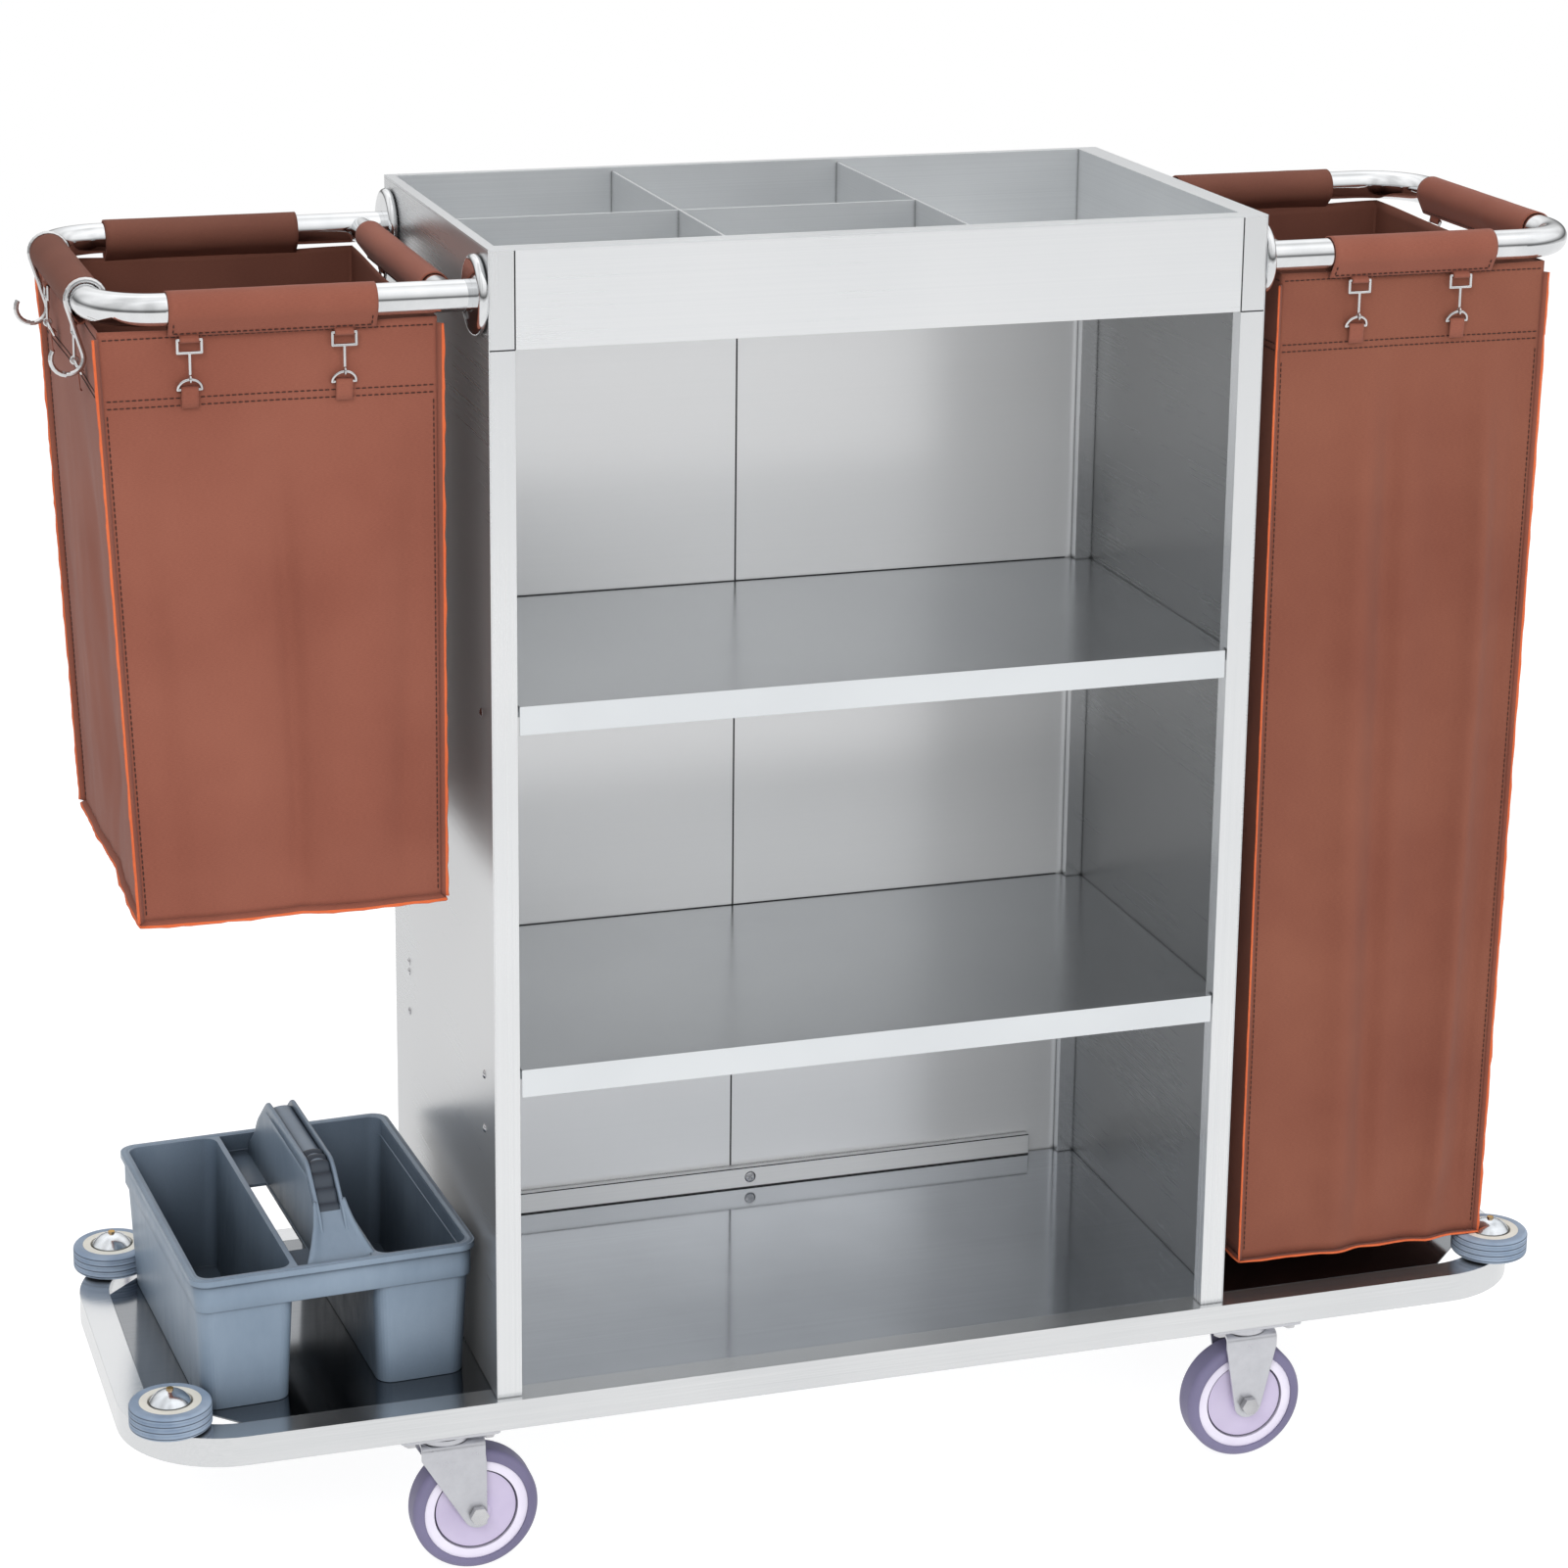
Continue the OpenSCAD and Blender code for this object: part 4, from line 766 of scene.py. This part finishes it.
def makeCaddy(c):
    def put(name, points, faces, key, wall=0.0):
        piece = makePiece(name, points, faces, [finish[key]], "caddy")
        if wall:
            thicken(piece, wall)

    for name, size, r, high, inset in (("caddyRim", c["rim"], c["bead"], c["beadHigh"], c["bead"]),
                                       ("caddyInnerLine", c["inner"], c["line"], c["lineHigh"], 0.0)):
        turns = [k * math.pi / 6 for k in range(12)]
        section = [(r * math.cos(t) - inset, high + r * math.sin(t)) for t in turns]
        put(name, *roundTheRim(c, size, section), "caddy")
    put("caddyBand", *roundTheRim(c, c["body"], c["band"]), "caddy")

    points, faces = [], []
    for side in (-1, 1):
        first = len(points)
        ys = np.linspace(-c["railEnd"], c["railEnd"], 61)
        for y in ys:
            base = ridgeTop(c, c["rail"], y)
            rise = c["railRise"] * float(smoothStep((c["railEnd"] - abs(y)) / 0.03))
            for x, up in ((-0.0018, -0.008), (-0.0018, rise - 0.0012), (-0.0009, rise), (0.0009, rise),
                          (0.0018, rise - 0.0012), (0.0018, -0.008)):
                points.append(fromCaddy(c, c["ridge"] + side * c["rail"] + x, y, base + up))
        faces += gridFaces(len(ys), 6, True, first)
        faces.append(tuple(first + k for k in reversed(range(6))))
        faces.append(tuple(len(points) - 6 + k for k in range(6)))
    put("caddyRails", points, faces, "caddy")

    points = []
    ys = np.linspace(*c["grip"], 120)
    start, count, pitch = c["fingers"]
    for y in ys:
        t = (y - start) / pitch
        finger = c["fingerHigh"] * abs(math.sin(math.pi * t)) if 0 < t < count else 0.0
        for k in range(9):
            x = (k / 4 - 1) * c["gripHalf"]
            points.append(fromCaddy(c, c["ridge"] + x, y, ridgeTop(c, x, y) + 0.0008 + finger))
    put("caddyGripFingers", points, gridFaces(len(ys), 9), "caddyDark", 0.0012)

    points = []
    ys = np.linspace(*c["trough"], 24)
    for i, y in enumerate(ys):
        k = i / (len(ys) - 1)
        half = c["troughHalf"][0] + (c["troughHalf"][1] - c["troughHalf"][0]) * k ** 1.5
        base = ridgeTop(c, 0, y) + 0.0012
        wall = c["troughWall"] * (1 - 0.5 * k)
        points.append(fromCaddy(c, c["ridge"] - half, y, min(c["saddle"], base)))
        for u in (-1, -0.97, -0.86, -0.72, -0.5, -0.25, 0, 0.25, 0.5, 0.72, 0.86, 0.97, 1):
            up = wall * float(smoothStep((abs(u) - 0.68) / 0.3))
            points.append(fromCaddy(c, c["ridge"] + u * half, y, base + up))
        points.append(fromCaddy(c, c["ridge"] + half, y, min(c["saddle"], base)))
    put("caddyTrough", points, gridFaces(len(ys), 15), "caddy", 0.0018)


makeCaddy(caddyShape)
print("caddy edges and grip made")

tube = {"high": 1.283, "front": -0.191, "rear": 0.187, "leftEnd": -0.72675, "rightEnd": 0.74525,
        "leftCross": -0.40875, "rightCross": 0.42725, "thick": 0.015, "crossThick": 0.0125}
hookRows = {"left": (-0.50475, -0.64575), "right": (0.50825, 0.61825), "ends": (-0.088, 0.097)}

leftBagShape = {
    "name": "leftBag", "node": "left_bag", "cloth": "cloth", "hooks": hookRows["left"],
    "mouth": (-0.72725, -0.41725), "base": (-0.70225, -0.41925), "deep": (-0.1915, 0.1875),
    "top": 1.265, "bottom": 0.7065, "band": 0.067, "sag": 0.007, "seed": 3.1,
    # side: bow outwards, then soft folds as (place along the side, width, height out)
    "front": (0.010, ((0.49, 0.10, -0.012), (0.505, 0.030, -0.005), (0.70, 0.12, 0.005),
                      (0.90, 0.05, -0.005), (0.12, 0.05, -0.004))),
    "right": (0.004, ((0.5, 0.12, -0.004),)),
    "rear": (0.005, ((0.4, 0.16, 0.004), (0.75, 0.08, -0.003))),
    "left": (-0.003, ((0.5, 0.12, -0.009), (0.25, 0.1, 0.002))),
    "finDown": 0.9, "fin": 0.0075,
}
rightBagShape = {
    "name": "rightBag", "node": "right_bag", "cloth": "rightClothShaded", "hooks": hookRows["right"],
    "mouth": (0.42675, 0.71375), "base": (0.42875, 0.69775), "deep": (-0.1915, 0.1875),
    "top": 1.265, "bottom": 0.2195, "band": 0.075, "sag": 0.0, "seed": 8.6,
    "front": (0.005, ((0.36, 0.07, 0.011), (0.47, 0.05, -0.008), (0.64, 0.08, -0.006),
                      (0.79, 0.045, 0.013), (0.92, 0.04, -0.006))),
    "right": (-0.002, ((0.5, 0.11, -0.008), (0.2, 0.08, 0.003))),
    "rear": (0.004, ((0.3, 0.12, 0.005), (0.7, 0.1, -0.004))),
    "left": (0.003, ((0.5, 0.14, -0.005),)),
    "finDown": 0.0, "fin": 0.0065,
}
bagMesh = {"across": 72, "along": 64, "high": 96, "floorRings": 14, "cloth": 0.0014,
           "edgeStitch": 0.0075, "hemStitch": 0.0035}


# A point of one side: side number, t along it, z height; outward push is added by the folds
def bagPoint(s, side, t, high):
    down = (s["top"] - high) / (s["top"] - s["bottom"])
    x0 = s["mouth"][0] + (s["base"][0] - s["mouth"][0]) * down
    x1 = s["mouth"][1] + (s["base"][1] - s["mouth"][1]) * down
    y0, y1 = s["deep"]
    a, b, out, key = (((x0, y0), (x1, y0), (0, -1), "front"), ((x1, y0), (x1, y1), (1, 0), "right"),
                      ((x1, y1), (x0, y1), (0, 1), "rear"), ((x0, y1), (x0, y0), (-1, 0), "left"))[side]
    bow, folds = s[key]
    below = s["top"] - high
    free = float(smoothStep((below - 0.055) / 0.20))      # nothing moves where the rings pull
    held = float(smoothStep((high - s["bottom"]) / 0.10)) * 0.7 + 0.3
    push = bow * 4 * t * (1 - t)
    for c, w, h in folds:
        drift = 0.025 * math.sin(3.1 * down + 5 * c + s["seed"])
        push += h * math.exp(-((t - c - drift) / w) ** 2)
    edge = min(1, min(t, 1 - t) / 0.07)
    p = [a[0] + (b[0] - a[0]) * t, a[1] + (b[1] - a[1]) * t, high]
    fine = 0.0016 * ripple(p, 9, s["seed"])
    fine += 0.0009 * ripple((p[0] * 2.5, p[1] * 2.5, p[2]), 16, s["seed"] + 5)
    push = (push * held + fine * 1.4) * free * edge
    push -= 0.0012 * (1 - free) * edge * (1 - math.cos(2 * math.pi * t))
    step = 0.0007 * float(smoothStep((s["band"] + 0.001 - below) / 0.0015))   # the hem's second layer
    push += step - 0.0008
    return p[0] + out[0] * push, p[1] + out[1] * push, out


def makeBag(s):
    n = {0: bagMesh["across"], 1: bagMesh["along"], 2: bagMesh["across"], 3: bagMesh["along"]}
    cols = sum(n.values())
    heights = list(np.linspace(s["bottom"], s["top"], bagMesh["high"]))
    heights = sorted(heights + [s["top"] - s["band"] - 0.0012, s["top"] - s["band"] + 0.0012])
    points, flats = [], []
    mouthRound = 2 * (s["mouth"][1] - s["mouth"][0] + s["deep"][1] - s["deep"][0])
    for z in heights:
        for side in range(4):
            for i in range(n[side]):
                t = i / n[side]
                x, y = bagPoint(s, side, t, z)[:2]
                nearTop = float(smoothStep((z - s["top"] + 0.02) / 0.02))
                points.append((x, y, z - 0.0035 * (1 - math.cos(2 * math.pi * t)) / 2 * nearTop))
        for c in range(cols):
            flats.append((mouthRound * c / cols, z))
    faces = gridFaces(len(heights), cols, True)
    # the floor: rings that shrink to the middle and sag
    rings = bagMesh["floorRings"]
    ring = points[:cols]
    mid = (sum(p[0] for p in ring) / cols, sum(p[1] for p in ring) / cols)
    first = len(points)
    for r in range(1, rings + 1):
        k = 1 - r / rings * 0.985
        for p in ring:
            x, y = mid[0] + (p[0] - mid[0]) * k, mid[1] + (p[1] - mid[1]) * k
            z = s["bottom"] - s["sag"] * math.sin(math.pi / 2 * (1 - k))
            points.append((x, y, z + 0.0012 * ripple((x, y, 0), 14, s["seed"]) * (1 - k)))
            flats.append((x, y))
    last = 0
    for r in range(rings):
        start = first + r * cols
        for j in range(cols):
            k = (j + 1) % cols
            faces.append((last + k, last + j, start + j, start + k))
        last = start
    faces.append(tuple(last + j for j in reversed(range(cols))))
    bag = makePiece(s["name"], points, faces, [finish[s["cloth"]], finish["lining"]], flats=flats)
    thicken(bag, bagMesh["cloth"], 1)
    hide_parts(s["node"])
    return bag, heights


# Seam allowance left outside: a thin strip along a path, with its raw outer rim
def finStrip(paths, width):
    points, faces, kinds, flats = [], [], [], []
    for path, outs in paths:
        first = len(points)
        length = 0
        for i, p in enumerate(path):
            p, o = Vector(p), Vector(outs[i]).normalized()
            if i:
                length += (p - Vector(path[i - 1])).length
            wave = 1 + 0.16 * ripple(p, 60, 2.0) + 0.10 * ripple(p, 210, 7.0)
            bend = Vector((0.0, 0.0, 0.0007)) * ripple(p, 45, 4.0)
            for k in (-0.15, 0.45, 0.72, 0.9, 1.0):
                points.append(p + o * width * (k if k < 0.8 else k * wave) + bend * max(k, 0))
                flats.append((length, k * width))
        f = gridFaces(len(path), 5, False, first)
        faces += f
        kinds += [1 if (i % 4) >= 2 else 0 for i in range(len(f))]
    return points, faces, kinds, flats


def finishBag(s, heights):
    corners = ((0, 0.0, (-1, -1, 0)), (0, 1.0, (1, -1, 0)), (2, 0.0, (1, 1, 0)), (2, 1.0, (-1, 1, 0)))
    strips = []
    for side, t, o in corners:
        path = []
        for z in heights:
            if z < s["top"] - 0.004:
                x, y = bagPoint(s, side, t, z)[:2]
                path.append((x, y, z))
        strips.append((path, [o] * len(path)))
    ring, ringOuts = [], []
    for side in range(4):
        for i in range(41):
            t = i / 40
            x, y, out = bagPoint(s, side, t, s["bottom"])
            ring.append((x, y, s["bottom"] + 0.0004))
            corner = max(0, 1 - min(t, 1 - t) / 0.03) * 0.7
            nextOut = ((0, -1), (1, 0), (0, 1), (-1, 0))[(side + (1 if t > 0.5 else 3)) % 4]
            ringOuts.append((out[0] + nextOut[0] * corner, out[1] + nextOut[1] * corner, -s["finDown"]))
    strips.append((ring, ringOuts))
    points, faces, kinds, flats = finStrip(strips, s["fin"])
    fins = makePiece(s["name"] + "Seams", points, faces, [finish["cloth"], finish["rawEdge"]],
                     flats=flats, kinds=kinds)
    m = thicken(fins, 0.0016).modifiers[0]
    m.offset = 0
    rows = []
    hem = bagMesh["hemStitch"]
    for below in (bagMesh["edgeStitch"], s["band"] - hem, s["band"] + hem):
        for side in range(4):
            path, lift = [], None
            for i in range(61):
                x, y, out = bagPoint(s, side, 0.01 + 0.98 * i / 60, s["top"] - below)
                path.append((x, y, s["top"] - below))
                lift = (out[0], out[1], 0)
            rows.append((path, lift))
    for side in range(4):
        for t in (0.012, 0.988):
            path = []
            for z in heights[1:]:
                if z < s["top"] - s["band"] - 0.006:
                    x, y, out = bagPoint(s, side, t, z)
                    path.append((x, y, z))
            rows.append((path, (out[0], out[1], 0)))
    stitches = makeStitches(s["name"] + "Stitches", rows)
    return fins, stitches


def makeRingTabs(s, spots):
    # spots: (middle of the ring's bar, direction along the bar, direction away from the bag)
    points, faces, flats = [], [], []
    shape = ((-0.0005, -0.0170), (0.0012, -0.0165), (0.0016, -0.010), (0.0021, -0.004), (0.0023, 0.0),
             (0.0017, 0.0018), (0.0, 0.0025), (-0.0016, 0.0024), (-0.0024, 0.0016))
    for at, along, away in spots:
        at, along, away = Vector(at), Vector(along), Vector(away)
        first = len(points)
        for i, (o, z) in enumerate(shape):
            for j in range(7):
                w = (j / 6 - 0.5) * 0.0155
                points.append(at + along * w + away * o + Vector((0, 0, z)))
                flats.append((w, 0.003 * i))
        faces += gridFaces(len(shape), 7, False, first)
    tabs = makePiece(s["name"] + "RingTabs", points, faces, [finish["cloth"]], flats=flats)
    m = thicken(tabs, 0.0009).modifiers[0]
    m.offset = 0
    return tabs


hang = {"flapDrop": 0.024, "flapIn": 0.0035, "flapHalf": 0.0015, "around": 0.0018, "hookOut": 0.0068,
        "tab": 0.0175, "barOut": 0.0023, "barDown": 0.0735, "leanDrop": 0.074}


def leanFor(gap):
    return math.asin(gap / hang["leanDrop"])


# Where a point of a sleeve's section lies: a along the tube, o away from the bag, z up
def hangPoint(f, a, o, z):
    lean = f["lean"]
    out = o * math.cos(lean) + z * math.sin(lean)
    up = z * math.cos(lean) - o * math.sin(lean)
    return Vector(f["from"]) + Vector(f["along"]) * a + Vector(f["away"]) * out + Vector((0, 0, up))


def sleeveSection(r):
    r = r + hang["around"]
    outer, inner = hang["flapIn"] + hang["flapHalf"], hang["flapIn"] - hang["flapHalf"]
    drop = -hang["flapDrop"]

    def touch(o, side):
        far = math.hypot(o, drop)
        base = math.atan2(drop, o)
        return base + side * math.acos(r / far)
    start, end = touch(outer, 1), touch(inner, -1)
    while end < start:
        end += 2 * math.pi
    section = []
    a0 = Vector((outer, drop))
    b0 = Vector((math.cos(start) * r, math.sin(start) * r))
    section += [a0.lerp(b0, k / 7) for k in range(7)]
    turns = [start + (end - start) * k / 26 for k in range(27)]
    section += [Vector((math.cos(t) * r, math.sin(t) * r)) for t in turns]
    a1, b1 = section[-1].copy(), Vector((inner, drop))
    section += [a1.lerp(b1, k / 7) for k in range(1, 8)]
    return section


def makeSleeve(name, node, f, r, seed):
    section = sleeveSection(r)
    rows = max(12, int(f["length"] / 0.005))
    points, flats = [], []
    around = [0.0]
    for p, q in zip(section, section[1:]):
        around.append(around[-1] + (q - p).length)
    for i in range(rows + 1):
        a = f["length"] * i / rows
        for j, c in enumerate(section):
            spot = hangPoint(f, a, c[0], c[1])
            flat = 1.0 if c[1] < -0.004 else 0.35
            wave = 0.0007 * ripple(spot, 30, seed) + 0.0004 * ripple(spot, 90, seed + 3)
            size = 1 + max(0, wave) / max(c.length, 0.005) * flat
            end = min(i, rows - i)
            grow = 1 + (0.02 if end == 0 else 0)
            points.append(hangPoint(f, a, c[0] * size * grow, c[1] * (size if c[1] > -0.02 else 1)))
            flats.append((a, around[j]))
    cols = len(section)
    faces = gridFaces(rows + 1, cols, True)
    faces = [tuple(reversed(q)) for q in faces]
    sleeve = makePiece(name, points, faces, [finish["cloth"], finish["lining"]], flats=flats)
    thicken(sleeve, 0.0013, 1)
    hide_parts(node)
    away = (hangPoint(f, 0, 1, 0) - hangPoint(f, 0, 0, 0)).normalized()
    lift, inset = 0.0006, 0.0045
    lengthwise = np.linspace(0.004, f["length"] - 0.004, 40)
    front, back = section[0].lerp(section[6], 0.2), section[-1].lerp(section[-7], 0.2)
    flap = [section[0].lerp(section[6], k) for k in np.linspace(0.2, 1, 6)]
    rowsOut = [([hangPoint(f, a, front[0] + lift, front[1]) for a in lengthwise], away)]
    for a in (inset, f["length"] - inset):
        rowsOut.append(([hangPoint(f, a, c[0] + lift, c[1]) for c in flap], away))
    rowsOut.append(([hangPoint(f, a, back[0] - lift, back[1]) for a in lengthwise], -away))
    stitches = makeStitches(name + "Stitches", rowsOut)
    tabs = makeHookTabs(name + "Tabs", f)
    flat = (around[-1] + 0.003, f["length"])
    return sleeve


def makeHookTabs(name, f):
    path = ((0.0044, -0.0205), (0.0052, -0.0240), (0.0083, -0.0252), (0.0092, -0.0270), (0.0085, -0.0288),
            (0.0068, -0.0296), (0.0051, -0.0288), (0.0042, -0.0270), (0.0034, -0.0240), (0.0031, -0.0205))
    points, faces, flats = [], [], []
    for h in f["hooks"]:
        first = len(points)
        for i, (o, z) in enumerate(path):
            for j in range(7):
                w = (j / 6 - 0.5) * hang["tab"]
                points.append(hangPoint(f, h + w, o, z))
                flats.append((w, i * 0.0028))
        faces += gridFaces(len(path), 7, False, first)
    tabs = makePiece(name, points, faces, [finish["cloth"]], flats=flats)
    m = thicken(tabs, 0.0010).modifiers[0]
    m.offset = 0
    return tabs


sleeveRuns = {
    # first and last place of the long sleeves, and how far the short ones hang off the upright
    "left": {"long": (-0.66475, -0.47475), "endLean": 0, "crossLean": 0.009},
    "right": {"long": (0.47625, 0.65225), "endLean": 0.032, "crossLean": 0},
    "end": (-0.113, 0.235), "cross": (-0.145, 0.286),      # start and length on either handle
}


def sleeveFrames(side):
    runs = sleeveRuns[side]
    lowX, highX = runs["long"]
    (endFrom, endLong), (crossFrom, crossLong) = sleeveRuns["end"], sleeveRuns["cross"]
    left, right = (-1, 0, 0), (1, 0, 0)
    outward, inward = (left, right) if side == "left" else (right, left)
    ends, handle = hookRows["ends"], side + "_handle"

    def place(start, along, away, length, lean, hooks, rests, thick):
        start = (*start, tube["high"])
        return {"from": start, "along": along, "away": away, "length": length, "lean": leanFor(lean),
                "hooks": hooks, "rests": rests}, thick

    long = [h - lowX for h in hookRows[side]]
    return {
        "Front": place((lowX, tube["front"]), (1, 0, 0), (0, -1, 0), highX - lowX, 0,
                       long, handle, tube["thick"]),
        "Rear": place((lowX, tube["rear"]), (1, 0, 0), (0, 1, 0), highX - lowX, 0,
                      long, handle, tube["thick"]),
        "End": place((tube[side + "End"], endFrom), (0, 1, 0), outward, endLong, runs["endLean"],
                     [h - endFrom for h in ends], handle, tube["thick"]),
        "Cross": place((tube[side + "Cross"], crossFrom), (0, 1, 0), inward, crossLong, runs["crossLean"],
                       [h - crossFrom for h in ends], "cross_bars", tube["crossThick"]),
    }


def dressHandle(side, shape):
    frames = sleeveFrames(side)
    for i, (key, (f, r)) in enumerate(frames.items()):
        makeSleeve(side + key + "Sleeve", side + "_sleeves", f, r, 2.0 + i + (5 if side == "left" else 0))
    bag, heights = makeBag(shape)
    fins, stitches = finishBag(shape, heights)
    spots = []
    for key, (f, r) in frames.items():
        for h in f["hooks"]:
            spots.append((hangPoint(f, h, hang["barOut"], -hang["barDown"]), f["along"], f["away"]))
    tabs = makeRingTabs(shape, spots)
    print(side, "bag and sleeves made")


dressHandle("left", leftBagShape)
dressHandle("right", rightBagShape)
